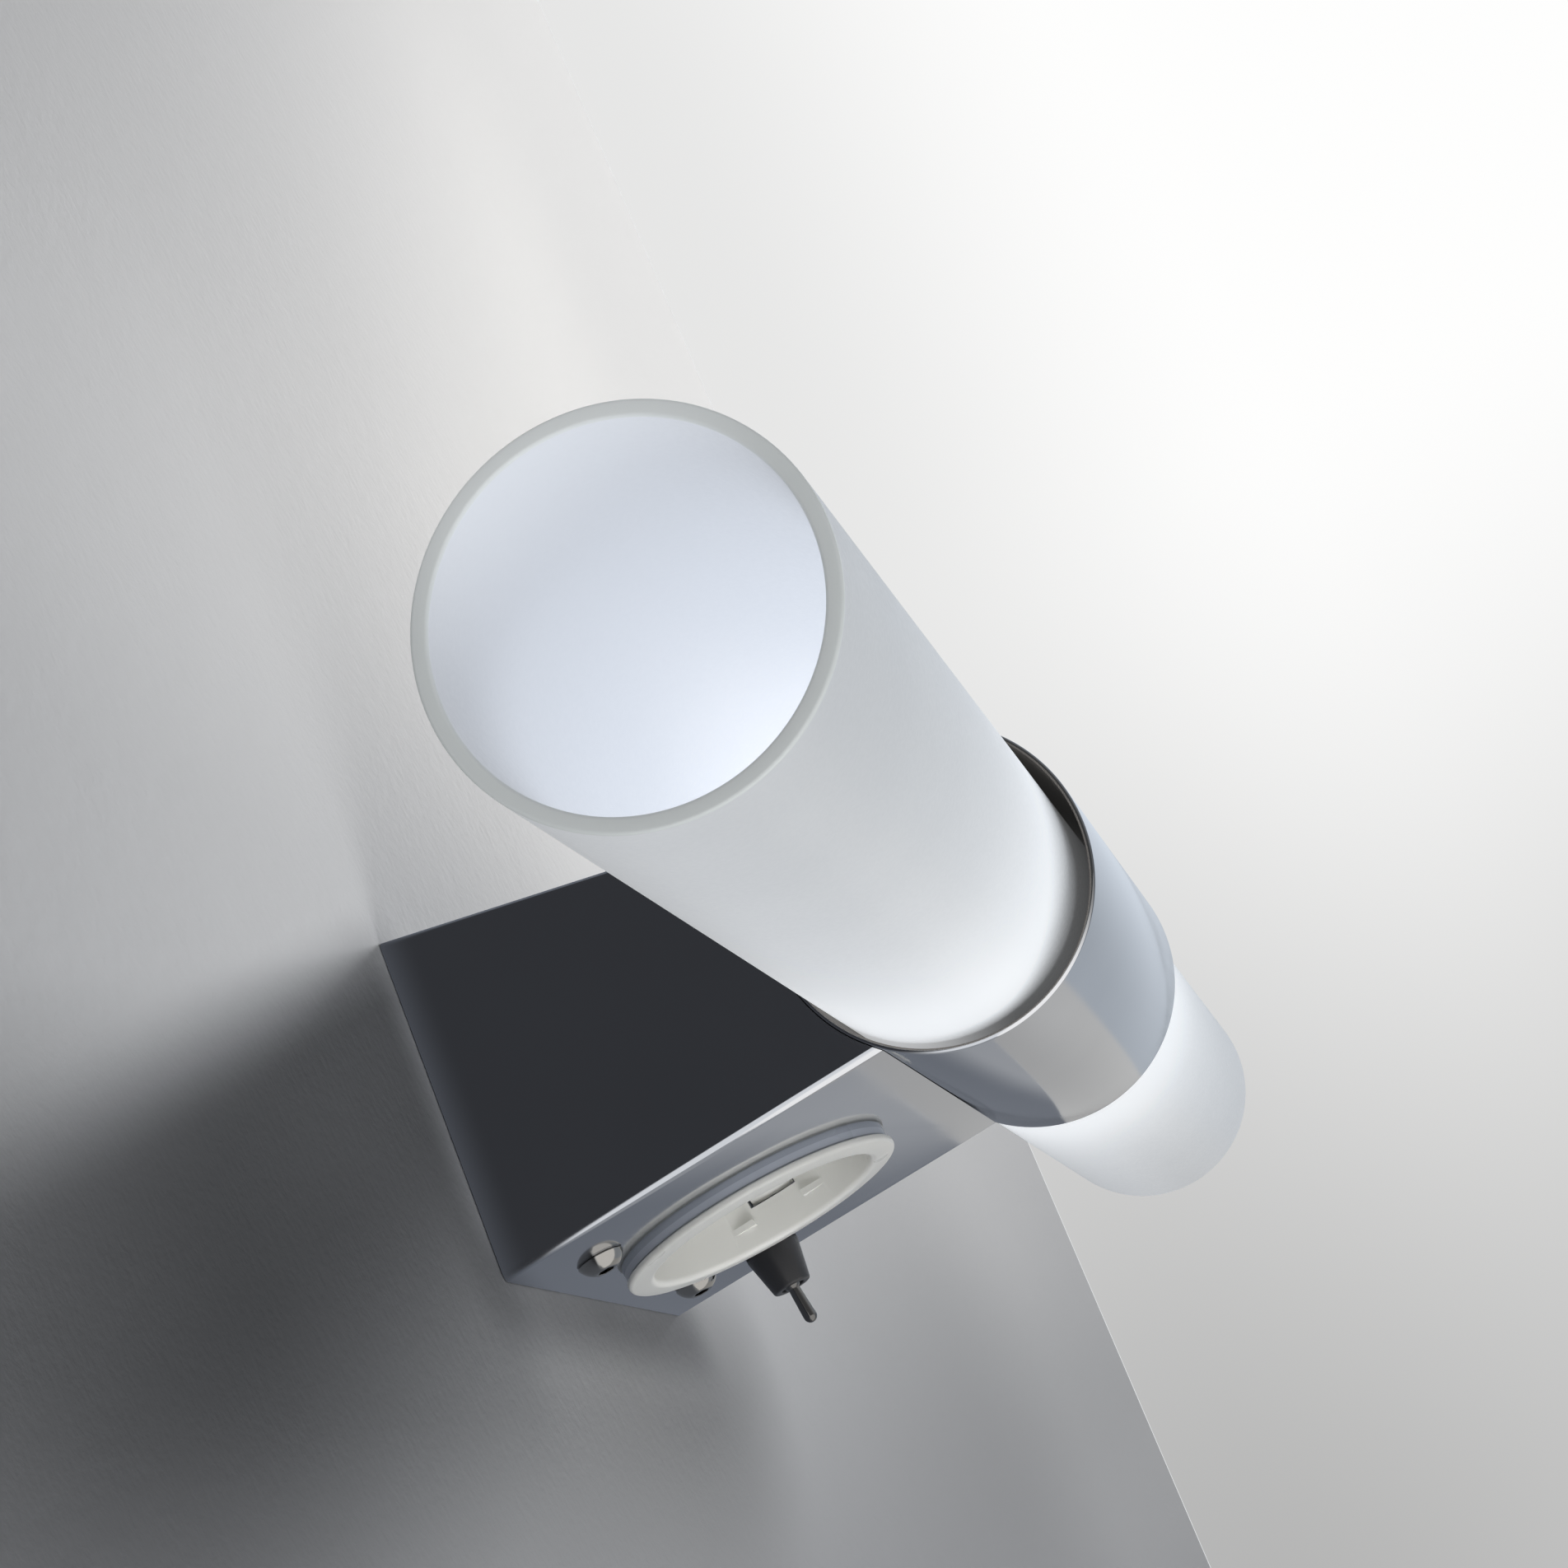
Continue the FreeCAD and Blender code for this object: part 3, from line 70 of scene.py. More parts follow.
_, HOUSING_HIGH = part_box("housing")
HOUSING_END = HOUSING_HIGH.x
HOUSING_HALF_HEIGHT = HOUSING_HIGH.z
HOUSING_WALL = 1.2 * MM
HOUSING_TAPER = math.radians(7.3)
HOUSING_EDGE = 1.3 * MM
SADDLE_RADIUS = SLEEVE_RADIUS + 0.1 * MM
SADDLE_WEB = 1.2 * MM
SOCKET_HOLE = 22.4 * MM
SWITCH_HOLE = 3.1 * MM
SCREW_HOLE = 2.25 * MM

SOCKET_DEPTH = 29.2 * MM
SOCKET_RISE = HOUSING_HALF_HEIGHT - SOCKET_DEPTH * math.tan(HOUSING_TAPER)
RECESS_RADIUS = 19.5 * MM
COLLAR_HEIGHT = 1.2 * MM
SWITCH_OFFSET, SWITCH_DEPTH = 39.5 * MM, 21.2 * MM
SCREW_OFFSET, SCREW_DEPTH = 28.0 * MM, 9.3 * MM
STEM_RADIUS = 4.0 * MM
STEM_HOLE = STEM_RADIUS + 0.2 * MM

LAMP_MIDDLE = 66 * MM
LAMP_FOOT = 50.2 * MM
LAMP_TIP = 81.2 * MM
LAMP_RADIUS = 6.6 * MM
LAMP_WALL = 0.9 * MM

# These turn a shape's own Z to lie along X, or to point at the wall.
ABOUT_X = Matrix.Rotation(math.radians(90), 4, "Y")
ABOUT_Y = Matrix.Rotation(math.radians(-90), 4, "X")


def at(across, along, up):
    return Matrix.Translation((across, along, up))


def underside(offset, depth):
    """A place on the sloping underside: Z points into the box and Y towards the wall."""
    rise = HOUSING_HALF_HEIGHT - depth * math.tan(HOUSING_TAPER)
    return at(offset, -depth, -rise) @ Matrix.Rotation(-HOUSING_TAPER, 4, "X")


def lamp_end(side):
    """The tube's axis at its middle, with Z out towards the left (-1) or right (1) end."""
    return at(0, TUBE_AXIS, 0) @ Matrix.Rotation(side * math.radians(90), 4, "Y")


# ---------------------------------------------------------------- shader helpers

class Value:
    """What a node gives, on which sums read as ordinary Python."""

    def __init__(self, shading, socket):
        self.shading = shading
        self.socket = socket

    def math(self, operation, *inputs):
        return self.shading.node("ShaderNodeMath", {"operation": operation}, inputs)

    def __add__(self, other):
        return self.math("ADD", self, other)

    def __sub__(self, other):
        return self.math("SUBTRACT", self, other)

    def __mul__(self, other):
        return self.math("MULTIPLY", self, other)

    def __truediv__(self, other):
        return self.math("DIVIDE", self, other)

    def __rsub__(self, other):
        return self.math("SUBTRACT", other, self)

    def __rtruediv__(self, other):
        return self.math("DIVIDE", other, self)

    def __abs__(self):
        return self.math("ABSOLUTE", self)

    def __pow__(self, other):
        return self.math("POWER", self, other)

    __radd__ = __add__
    __rmul__ = __mul__


class Shading:
    """The nodes of a material or a world."""

    def __init__(self, tree):
        self.tree = tree

    def node(self, kind, settings=None, inputs=(), output=0):
        """Adds a node: its settings first, then the values or links of its sockets."""
        made = self.tree.nodes.new(kind)
        for name, value in (settings or {}).items():
            setattr(made, name, value)
        pairs = inputs.items() if isinstance(inputs, dict) else enumerate(inputs)
        for key, value in pairs:
            if isinstance(value, Value):
                self.tree.links.new(value.socket, made.inputs[key])
            else:
                made.inputs[key].default_value = value
        return Value(self, made.outputs[output])

    def place(self):
        """The point on the object."""
        return self.node("ShaderNodeTexCoord", output="Object")

    def axes(self):
        """The point's three coordinates, as values."""
        parts = self.node("ShaderNodeSeparateXYZ", inputs=[self.place()]).socket.node
        return [Value(self, socket) for socket in parts.outputs]

    def stretched(self, scale):
        return self.node("ShaderNodeMapping", inputs={"Vector": self.place(), "Scale": scale})

    def noise(self, scale, detail=2.0, roughness=0.5, stretch=None):
        vector = self.stretched(stretch) if stretch else self.place()
        inputs = {"Vector": vector, "Scale": scale, "Detail": detail, "Roughness": roughness}
        return self.node("ShaderNodeTexNoise", inputs=inputs)

    def blend(self, value, low, high, start=0.0, end=1.0):
        """Moves smoothly from start to end as a value goes from low to high."""
        settings = {"interpolation_type": "SMOOTHSTEP", "clamp": True}
        return self.node("ShaderNodeMapRange", settings, [value, low, high, start, end])

    def mix(self, factor, first, second):
        """Mixes two colours."""
        settings = {"data_type": "RGBA"}
        return self.node("ShaderNodeMix", settings, {0: factor, 6: first, 7: second}, output=2)

    def tinted(self, colour, level):
        """A colour made stronger or weaker."""
        inputs = {0: colour, "Scale": level}
        return self.node("ShaderNodeVectorMath", {"operation": "SCALE"}, inputs)

    def bump(self, height, distance, strength=1.0):
        inputs = {"Height": height, "Distance": distance, "Strength": strength}
        return self.node("ShaderNodeBump", inputs=inputs)

    def skin(self, **sockets):
        """The main shader; socket names are written with _ for a space."""
        inputs = {name.replace("_", " "): value for name, value in sockets.items()}
        return self.node("ShaderNodeBsdfPrincipled", inputs=inputs)

    def ray(self, kind):
        """1 on rays of one kind, such as Camera or Glossy."""
        return self.node("ShaderNodeLightPath", output=f"Is {kind} Ray")


class Finish(Shading):
    """A material under construction."""

    def __init__(self, name):
        self.material = bpy.data.materials.new(name)
        self.material.use_nodes = True
        super().__init__(self.material.node_tree)
        self.tree.nodes.clear()
        self.output = self.tree.nodes.new("ShaderNodeOutputMaterial")

    def done(self, shader):
        self.tree.links.new(shader.socket, self.output.inputs["Surface"])
        return self.material


def forward(off_axis, up):
    """How far a point lies in front of an axis along X and, to a lesser part, above it."""
    return up * 0.41 - off_axis * 0.91


def grey(level, warmth=0.0):
    """A grey colour, a little warmer or, below 0, cooler."""
    return (level * (1 + warmth), level, level * (1 - warmth), 1)


# ---------------------------------------------------------------- finishes

def polished_chrome():
    """Chrome plate: bright, with faint handling haze and hairline polishing marks."""
    chrome = Finish("polished_chrome")
    haze = chrome.noise(38.0, 3.0)
    marks = chrome.noise(900.0, 2.0, stretch=(0.04, 1, 1))
    colour = chrome.mix(haze, (0.60, 0.61, 0.63, 1), (0.66, 0.67, 0.69, 1))
    rough = chrome.blend(haze, 0.35, 0.75, 0.07, 0.12) + (marks - 0.5) * 0.02
    normal = chrome.bump(marks, 0.002 * MM, 0.35)
    return chrome.done(chrome.skin(Base_Color=colour, Metallic=1.0, Roughness=rough, Normal=normal))


def sleeve_chrome():
    """The same chrome on the sleeve, whose bore is left matt. Its rims carry painted shade in
    front.
    """
    chrome = Finish("sleeve_chrome")
    across, along, up = chrome.axes()
    off_axis = along - SLEEVE_AXIS
    radius = (off_axis * off_axis + up * up) ** 0.5
    plating_start = SLEEVE_RADIUS - 0.75 * SLEEVE_WALL
    plating_end = SLEEVE_RADIUS - 0.55 * SLEEVE_WALL
    plated = chrome.blend(radius, plating_start, plating_end)
    haze = chrome.noise(38.0, 3.0)
    marks = chrome.noise(700.0, 2.0, stretch=(0.02, 1, 1))
    plating = chrome.mix(haze, (0.60, 0.61, 0.63, 1), (0.67, 0.68, 0.70, 1))
    # Painted shade: the plating on the rims is darkened in front.
    rim = chrome.blend(abs(across), SLEEVE_END - 0.62 * MM, SLEEVE_END - 0.4 * MM)
    front = chrome.blend(forward(off_axis, up), 0.15 * SLEEVE_RADIUS, 0.7 * SLEEVE_RADIUS)
    plating = chrome.tinted(plating, 1 - rim * front * 0.78)
    colour = chrome.mix(plated, (0.24, 0.225, 0.21, 1), plating)
    bore_rough = 0.6
    polish = chrome.blend(haze, 0.35, 0.75, 0.07, 0.12) + (marks - 0.5) * 0.03
    rough = bore_rough + (polish - bore_rough) * plated
    normal = chrome.bump(marks, 0.003 * MM, 0.4)
    return chrome.done(chrome.skin(Base_Color=colour, Metallic=plated, Roughness=rough,
                                   Normal=normal))


def lamp_light(reach, distance):
    """The light of a lamp along the tube: 1 at its middle and half at a distance from there."""
    away = (reach - LAMP_MIDDLE) / distance
    return 1 / (1 + away * away)


def light_past_sleeve(glass, across, ahead, front):
    """How bright the glass is beside the sleeve's rims. The left rim shades it most, in front."""
    dimmest = glass.blend(ahead, -0.85 * TUBE_RADIUS, -0.15 * TUBE_RADIUS, 0.85, 0.25)
    left = glass.blend(across, 10 * MM, -10 * MM)
    shade_start = SLEEVE_END - 2 * MM
    shade_end = SLEEVE_END + 2 * MM + left * (front * 24 + 5) * MM
    return glass.blend(abs(across), shade_start, shade_end, dimmest, 1.0)


def satin_glass():
    """Etched glass with a painted glow where the lamps are and painted shade beside the sleeve. Its
    ends are ground and let less out.
    """
    glass = Finish("satin_glass")
    across, along, up = glass.axes()
    reach = abs(across)
    off_axis = along - TUBE_AXIS
    radius = (off_axis * off_axis + up * up) ** 0.5
    inside = glass.blend(radius, TUBE_BORE + 0.35 * MM, TUBE_BORE + 0.05 * MM)
    rim = glass.blend(reach, TUBE_END - 0.55 * MM, TUBE_END - 0.35 * MM)

    ahead = forward(off_axis, up)
    front = glass.blend(ahead, -0.3 * TUBE_RADIUS, TUBE_RADIUS)
    behind = glass.blend(off_axis * 0.93 - up * 0.36, 0.2 * TUBE_RADIUS, TUBE_RADIUS)
    # Painted shade beside the sleeve's rims, which dims both the glow and the colour.
    sleeve_shade = light_past_sleeve(glass, across, ahead, front)
    # Painted glow from the lamps: brighter behind, dimmer in front.
    outside_glow = lamp_light(reach, 34 * MM) * 0.32 + 0.15 - front * 0.08 + behind * 0.15
    # Painted shade on the upper inside towards each mouth.
    upper_dimming = glass.blend(up, 0, TUBE_BORE, 0.24, 0.05)
    mouth = 1 - glass.blend(reach, TUBE_END - 35 * MM, TUBE_END) * upper_dimming
    inside_glow = (lamp_light(reach, 38 * MM) * 0.16 + 0.31) * mouth
    # Painted glow on the ground ends, brighter at the top.
    rim_glow = glass.blend(up, 0.2 * TUBE_RADIUS, TUBE_RADIUS, 0.18, 0.27)
    wall_glow = outside_glow * sleeve_shade * (1 - inside) + inside_glow * inside
    glow = wall_glow * (1 - rim) + rim_glow * rim

    cloud = glass.noise(55.0, 3.0)
    body = glass.mix(cloud, (0.52, 0.545, 0.575, 1), (0.57, 0.595, 0.62, 1))
    # Painted shade in the colour beside the sleeve; the colour also darkens towards the ends.
    body = glass.tinted(body, sleeve_shade * glass.blend(reach, 90 * MM, 200 * MM, 1.0, 0.86))
    # The inside's colour carries the painted shade towards the mouth.
    lining = glass.mix(inside, body, glass.tinted((0.50, 0.53, 0.57), mouth))
    colour = glass.mix(rim, lining, (0.50, 0.535, 0.53, 1))
    light = glass.mix(inside, (0.96, 0.98, 1.0, 1), (0.935, 0.955, 1.0, 1))
    etch = glass.noise(1500.0, 3.0, 0.6)
    grind = glass.noise(2600.0, 2.0, 0.7)
    rough = glass.blend(etch, 0.3, 0.7, 0.38, 0.5)
    normal = glass.bump(etch * (1 - rim) + grind * rim * 2, 0.01 * MM, 0.5)
    return glass.done(glass.skin(Base_Color=colour, Roughness=rough, Normal=normal, IOR=1.5,
                                 Emission_Color=glass.tinted(light, glow), Emission_Strength=1.0))


def white_moulding():
    """Off-white moulded plastic, semi-gloss, with a very slight ripple. The recess is painted
    lighter than the flange as painted light, and the flange's collar is painted grey as shade."""
    plastic = Finish("white_moulding")
    across, along, up = plastic.axes()
    behind = along + SOCKET_DEPTH
    above = up + SOCKET_RISE
    aside = behind * math.cos(HOUSING_TAPER) - above * math.sin(HOUSING_TAPER)
    depth = behind * math.sin(HOUSING_TAPER) + above * math.cos(HOUSING_TAPER)
    radius = (across * across + aside * aside) ** 0.5
    # Painted light: the recess is coloured lighter than the flange.
    lightened_recess = plastic.blend(radius, RECESS_RADIUS + 1.2 * MM, RECESS_RADIUS + 0.2 * MM)
    tone = plastic.noise(60.0, 3.0)
    flange = plastic.mix(tone, (0.66, 0.665, 0.64, 1), (0.70, 0.705, 0.68, 1))
    recess = plastic.mix(tone, (0.83, 0.83, 0.80, 1), (0.86, 0.86, 0.83, 1))
    colour = plastic.mix(lightened_recess, flange, recess)
    # Painted shade: the collar below the flange is coloured bluish grey.
    collar = plastic.blend(depth, -COLLAR_HEIGHT - 0.1 * MM, -COLLAR_HEIGHT + 0.02 * MM)
    colour = plastic.mix(collar * (1 - lightened_recess), colour, (0.42, 0.455, 0.52, 1))
    rough = plastic.blend(tone, 0.3, 0.7, 0.26, 0.34)
    normal = plastic.bump(plastic.noise(350.0, 1.0), 0.01 * MM, 0.12)
    return plastic.done(plastic.skin(Base_Color=colour, Roughness=rough, Normal=normal, IOR=1.5))


def black_moulding():
    """Black moulded plastic with a fine satin grain and dusty high spots."""
    plastic = Finish("black_moulding")
    grain = plastic.noise(2200.0, 3.0, 0.65)
    tone = plastic.noise(160.0, 2.0)
    colour = plastic.mix(tone, (0.013, 0.013, 0.0145, 1), (0.023, 0.023, 0.0255, 1))
    rough = plastic.blend(grain, 0.3, 0.7, 0.30, 0.46)
    normal = plastic.bump(grain, 0.02 * MM, 0.5)
    return plastic.done(plastic.skin(Base_Color=colour, Roughness=rough, Normal=normal, IOR=1.5))


def plain_moulding(name, dark, light, low, high):
    """A matt moulded or fired material between two colours and two roughnesses."""
    body = Finish(name)
    tone = body.noise(140.0, 4.0, 0.6)
    grain = body.noise(1800.0, 2.0)
    colour = body.mix(tone, dark, light)
    rough = body.blend(grain, 0.3, 0.7, low, high)
    normal = body.bump(grain, 0.03 * MM, 0.4)
    return body.done(body.skin(Base_Color=colour, Roughness=rough, Normal=normal, IOR=1.48))


def metal(name, dark, light, low, high, stretch=(1, 1, 1)):
    """A metal between two colours and two roughnesses, with drawing or turning marks."""
    plate = Finish(name)
    tone = plate.noise(70.0, 4.0, 0.6)
    marks = plate.noise(1600.0, 2.0, stretch=stretch)
    colour = plate.mix(tone, dark, light)
    rough = plate.blend(tone, 0.3, 0.7, low, high) + (marks - 0.5) * 0.08
    normal = plate.bump(marks, 0.006 * MM, 0.5)
    return plate.done(plate.skin(Base_Color=colour, Metallic=1.0, Roughness=rough, Normal=normal))


def lamp_glass():
    """The clear glass of a capsule lamp, lit from within."""
    glass = Finish("lamp_glass")
    streaks = glass.noise(240.0, 2.0)
    glow = glass.mix(streaks, (1.0, 0.93, 0.84, 1), (1.0, 0.96, 0.90, 1))
    rough = glass.blend(streaks, 0.3, 0.7, 0.04, 0.10)
    return glass.done(glass.skin(Base_Color=(0.9, 0.92, 0.94, 1), Roughness=rough, IOR=1.47,
                                 Alpha=0.4, Emission_Color=glow, Emission_Strength=0.7))


def hot_wire():
    """The glowing coil of a lamp, a little cooler at its ends."""
    wire = Finish("hot_wire")
    across = abs(wire.axes()[0])
    core = wire.blend(abs(across - LAMP_MIDDLE), 7.5 * MM, 4 * MM)
    colour = wire.mix(core, (1.0, 0.62, 0.30, 1), (1.0, 0.88, 0.70, 1))
    return wire.done(wire.skin(Base_Color=(0.3, 0.3, 0.3, 1), Roughness=0.5,
                               Emission_Color=colour, Emission_Strength=5.0))


CHROME = polished_chrome()
SLEEVE_CHROME = sleeve_chrome()
SATIN_GLASS = satin_glass()
WHITE_PLASTIC = white_moulding()
BLACK_PLASTIC = black_moulding()
LAMP_GLASS = lamp_glass()
HOT_WIRE = hot_wire()
CLAY = plain_moulding("fired_clay", grey(0.60, 0.05), grey(0.70, 0.05), 0.55, 0.75)
NATURAL = plain_moulding("natural_moulding", grey(0.60, 0.03), grey(0.68, 0.03), 0.35, 0.5)
CASE = plain_moulding("switch_case", grey(0.015), grey(0.028), 0.45, 0.6)
SILICONE = plain_moulding("silicone", grey(0.55, 0.02), grey(0.62, 0.02), 0.5, 0.65)
INSULATION = plain_moulding("lead_insulation", grey(0.62, 0.06), grey(0.70, 0.06), 0.5, 0.62)
RUBBER = plain_moulding("black_rubber", grey(0.02), grey(0.035), 0.6, 0.75)
ZINC = metal("zinc_plate", (0.50, 0.52, 0.54, 1), (0.62, 0.63, 0.62, 1), 0.30, 0.46, (0.1, 1, 1))
STAINLESS = metal("bright_screw", (0.30, 0.29, 0.275, 1), (0.38, 0.37, 0.35, 1), 0.08, 0.16)
SPRING = metal("spring_strip", (0.55, 0.55, 0.53, 1), (0.64, 0.63, 0.60, 1), 0.20, 0.32,
               (1, 0.1, 1))
NICKEL = metal("nickel_plate", (0.40, 0.39, 0.375, 1), (0.48, 0.47, 0.45, 1), 0.12, 0.2)
DARK_NICKEL = metal("dark_nickel", (0.12, 0.117, 0.112, 1), (0.17, 0.165, 0.16, 1), 0.05, 0.10)
BRASS = metal("turned_brass", (0.60, 0.43, 0.17, 1), (0.72, 0.54, 0.25, 1), 0.25, 0.4)

SLOT_FINISH = {
    "chrome": CHROME, "frosted_glass": SATIN_GLASS, "white_plastic": WHITE_PLASTIC,
    "black_plastic": BLACK_PLASTIC, "black_case": CASE, "clear_plastic": NATURAL,
    "lead_insulation": INSULATION, "black_rubber": RUBBER, "clear_rubber": SILICONE,
    "ceramic": CLAY, "zinc_steel": ZINC, "stainless": STAINLESS, "spring_steel": SPRING,
    "nickel": NICKEL, "brass": BRASS, "clear_glass": LAMP_GLASS, "tungsten": HOT_WIRE,
}
SLOT_OF = {part["node"]: part["material_slot"] for part in frame["record"]["subparts"]}


# ---------------------------------------------------------------- shape helpers

def rounded(corners, steps=5):
    """A closed outline with an arc in place of each corner that gives a radius."""
    points = []
    for index, corner in enumerate(corners):
        here = Vector(corner[:2])
        if len(corner) == 2:
            points.append(here)
            continue
        radius = corner[2]
        before = (Vector(corners[index - 1][:2]) - here).normalized()
        after = (Vector(corners[(index + 1) % len(corners)][:2]) - here).normalized()
        half = before.angle(after) / 2
        centre = here + (before + after).normalized() * (radius / math.sin(half))
        first = here + before * (radius / math.tan(half)) - centre
        last = here + after * (radius / math.tan(half)) - centre
        turn = math.atan2(first.x * last.y - first.y * last.x, first.dot(last))
        turned = [Matrix.Rotation(turn * step / steps, 2) @ first for step in range(steps + 1)]
        points += [centre + spoke for spoke in turned]
    return points


def bulge(start, end, radius, steps=8):
    """Points of an arc from start to end that bows to the right of the way there."""
    start, end = Vector(start), Vector(end)
    chord = end - start
    left = Vector((-chord.y, chord.x)).normalized()
    middle = (start + end) / 2
    centre = middle + left * math.sqrt(max(radius ** 2 - (chord.length / 2) ** 2, 0))
    half = math.asin(min(chord.length / 2 / radius, 1))
    first = start - centre
    turns = [Matrix.Rotation(2 * half * step / steps, 2) for step in range(steps + 1)]
    return [centre + turn @ first for turn in turns]


def spun(points, place, closed=True, steps=96):
    """An outline turned about the Z axis of its place. One that isn't closed ends on that axis."""
    shape = bmesh.new()
    corners = [shape.verts.new((radius, 0, along)) for along, radius in points]
    ends = corners[1:] + corners[:1] if closed else corners[1:]
    wire = [shape.edges.new(pair) for pair in zip(corners, ends)]
    bmesh.ops.spin(shape, geom=corners + wire, cent=(0, 0, 0), axis=(0, 0, 1), dvec=(0, 0, 0),
                   angle=math.tau, steps=steps, use_merge=True)
    return cleaned(shape, place)


def cleaned(shape, place):
    """Closes a shape's seams, points its faces outwards and puts it in its place."""
    bmesh.ops.remove_doubles(shape, verts=shape.verts, dist=0.001 * MM)
    bmesh.ops.recalc_face_normals(shape, faces=shape.faces)
    bmesh.ops.transform(shape, matrix=place, verts=shape.verts)
    return shape


def drum(radius, start, end, place, sides=64):
    """A plain round or, with few sides, many-sided bar between two points of its place's Z."""
    shape = bmesh.new()
    bmesh.ops.create_cone(shape, cap_ends=True, segments=sides, radius1=radius, radius2=radius,
                          depth=end - start, matrix=at(0, 0, (start + end) / 2))
    bmesh.ops.transform(shape, matrix=place, verts=shape.verts)
    return shape


def slab(low, high, place):
    """A block between two corners."""
    low, high = Vector(low), Vector(high)
    shape = bmesh.new()
    bmesh.ops.create_cube(shape, size=1.0)
    bmesh.ops.scale(shape, vec=high - low, verts=shape.verts)
    bmesh.ops.translate(shape, vec=(low + high) / 2, verts=shape.verts)
    bmesh.ops.transform(shape, matrix=place, verts=shape.verts)
    return shape


def joined(shapes):
    """Several shapes as one, side by side."""
    whole = bmesh.new()
    for shape in shapes:
        mesh = bpy.data.meshes.new("part")
        shape.to_mesh(mesh)
        shape.free()
        whole.from_mesh(mesh)
        bpy.data.meshes.remove(mesh)
    return whole


def loose(name, shape):
    """An object that holds a shape."""
    mesh = bpy.data.meshes.new(name)
    shape.to_mesh(mesh)
    shape.free()
    thing = bpy.data.objects.new(name, mesh)
    bpy.context.scene.collection.objects.link(thing)
    return thing


def carve(thing, cutters, operation="DIFFERENCE"):
    """Cuts shapes out of a piece, or with UNION adds them, and keeps the result as its mesh."""
    for shape in cutters:
        tool = loose("tool", shape)
        change = thing.modifiers.new("carve", "BOOLEAN")
        change.operation = operation
        change.solver = "EXACT"
        change.object = tool
        graph = bpy.context.evaluated_depsgraph_get()
        result = bpy.data.meshes.new_from_object(thing.evaluated_get(graph))
        thing.modifiers.clear()
        thing.data = result
        bpy.data.objects.remove(tool)


def soften(thing, width, steps=2, angle=35):
    """Rounds the sharp edges of a piece."""
    bevel = thing.modifiers.new("soft_edges", "BEVEL")
    bevel.width = width
    bevel.segments = steps
    bevel.limit_method = "ANGLE"
    bevel.angle_limit = math.radians(angle)
    bevel.harden_normals = True


def fitted(thing, nodes, body="fixture", finish=None, sharp=35):
    """Shades a piece, gives it its finish and lets it stand for CAD nodes on a body."""
    thing.data.shade_smooth()
    thing.data.set_sharp_from_angle(angle=math.radians(sharp))
    slot = SLOT_OF[nodes[0]]
    thing.data.materials.clear()
    thing.data.materials.append(finish or SLOT_FINISH[slot])
    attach(thing, body)
    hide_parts(*nodes)
    return thing


# ---------------------------------------------------------------- glass tube and sleeve

def make_glass_tube():
    """The frosted tube, with ground ends and a hole in its back for the stem."""
    edge = 0.4 * MM
    stem_hole = 5 * MM
    corners = [(-TUBE_END, TUBE_BORE, edge), (-TUBE_END, TUBE_RADIUS, edge),
               (TUBE_END, TUBE_RADIUS, edge), (TUBE_END, TUBE_BORE, edge)]
    tube = loose("satin_tube", spun(rounded(corners), at(0, TUBE_AXIS, 0) @ ABOUT_X, steps=160))
    carve(tube, [drum(stem_hole, 0, TUBE_RADIUS + TUBE_WALL, at(0, TUBE_AXIS, 0) @ ABOUT_Y)])
    fitted(tube, ["glass_tube"])


def make_sleeve():
    """The polished band, with rims rounded off towards the outside."""
    outer_rim, inner_rim = 0.6 * MM, 0.12 * MM
    bore = SLEEVE_RADIUS - SLEEVE_WALL
    corners = [(-SLEEVE_END, bore, inner_rim), (-SLEEVE_END, SLEEVE_RADIUS, outer_rim),
               (SLEEVE_END, SLEEVE_RADIUS, outer_rim), (SLEEVE_END, bore, inner_rim)]
    place = at(0, SLEEVE_AXIS, 0) @ ABOUT_X
    band = loose("polished_band", spun(rounded(corners), place, steps=160))
    carve(band, [drum(STEM_HOLE, 0, 2 * SLEEVE_RADIUS, at(0, SLEEVE_AXIS, 0) @ ABOUT_Y)])
    fitted(band, ["sleeve"], finish=SLEEVE_CHROME)


# ---------------------------------------------------------------- housing

def wedge(half_length, half_height, start):
    """A block along X that tapers from the wall to the sleeve's axis. It starts with a half height
    of 1, which each corner scales to its own."""
    shape = slab((-half_length, SLEEVE_AXIS, -1), (half_length, start, 1), at(0, 0, 0))
    for vert in shape.verts:
        vert.co.z *= half_height + vert.co.y * math.tan(HOUSING_TAPER)
    return shape


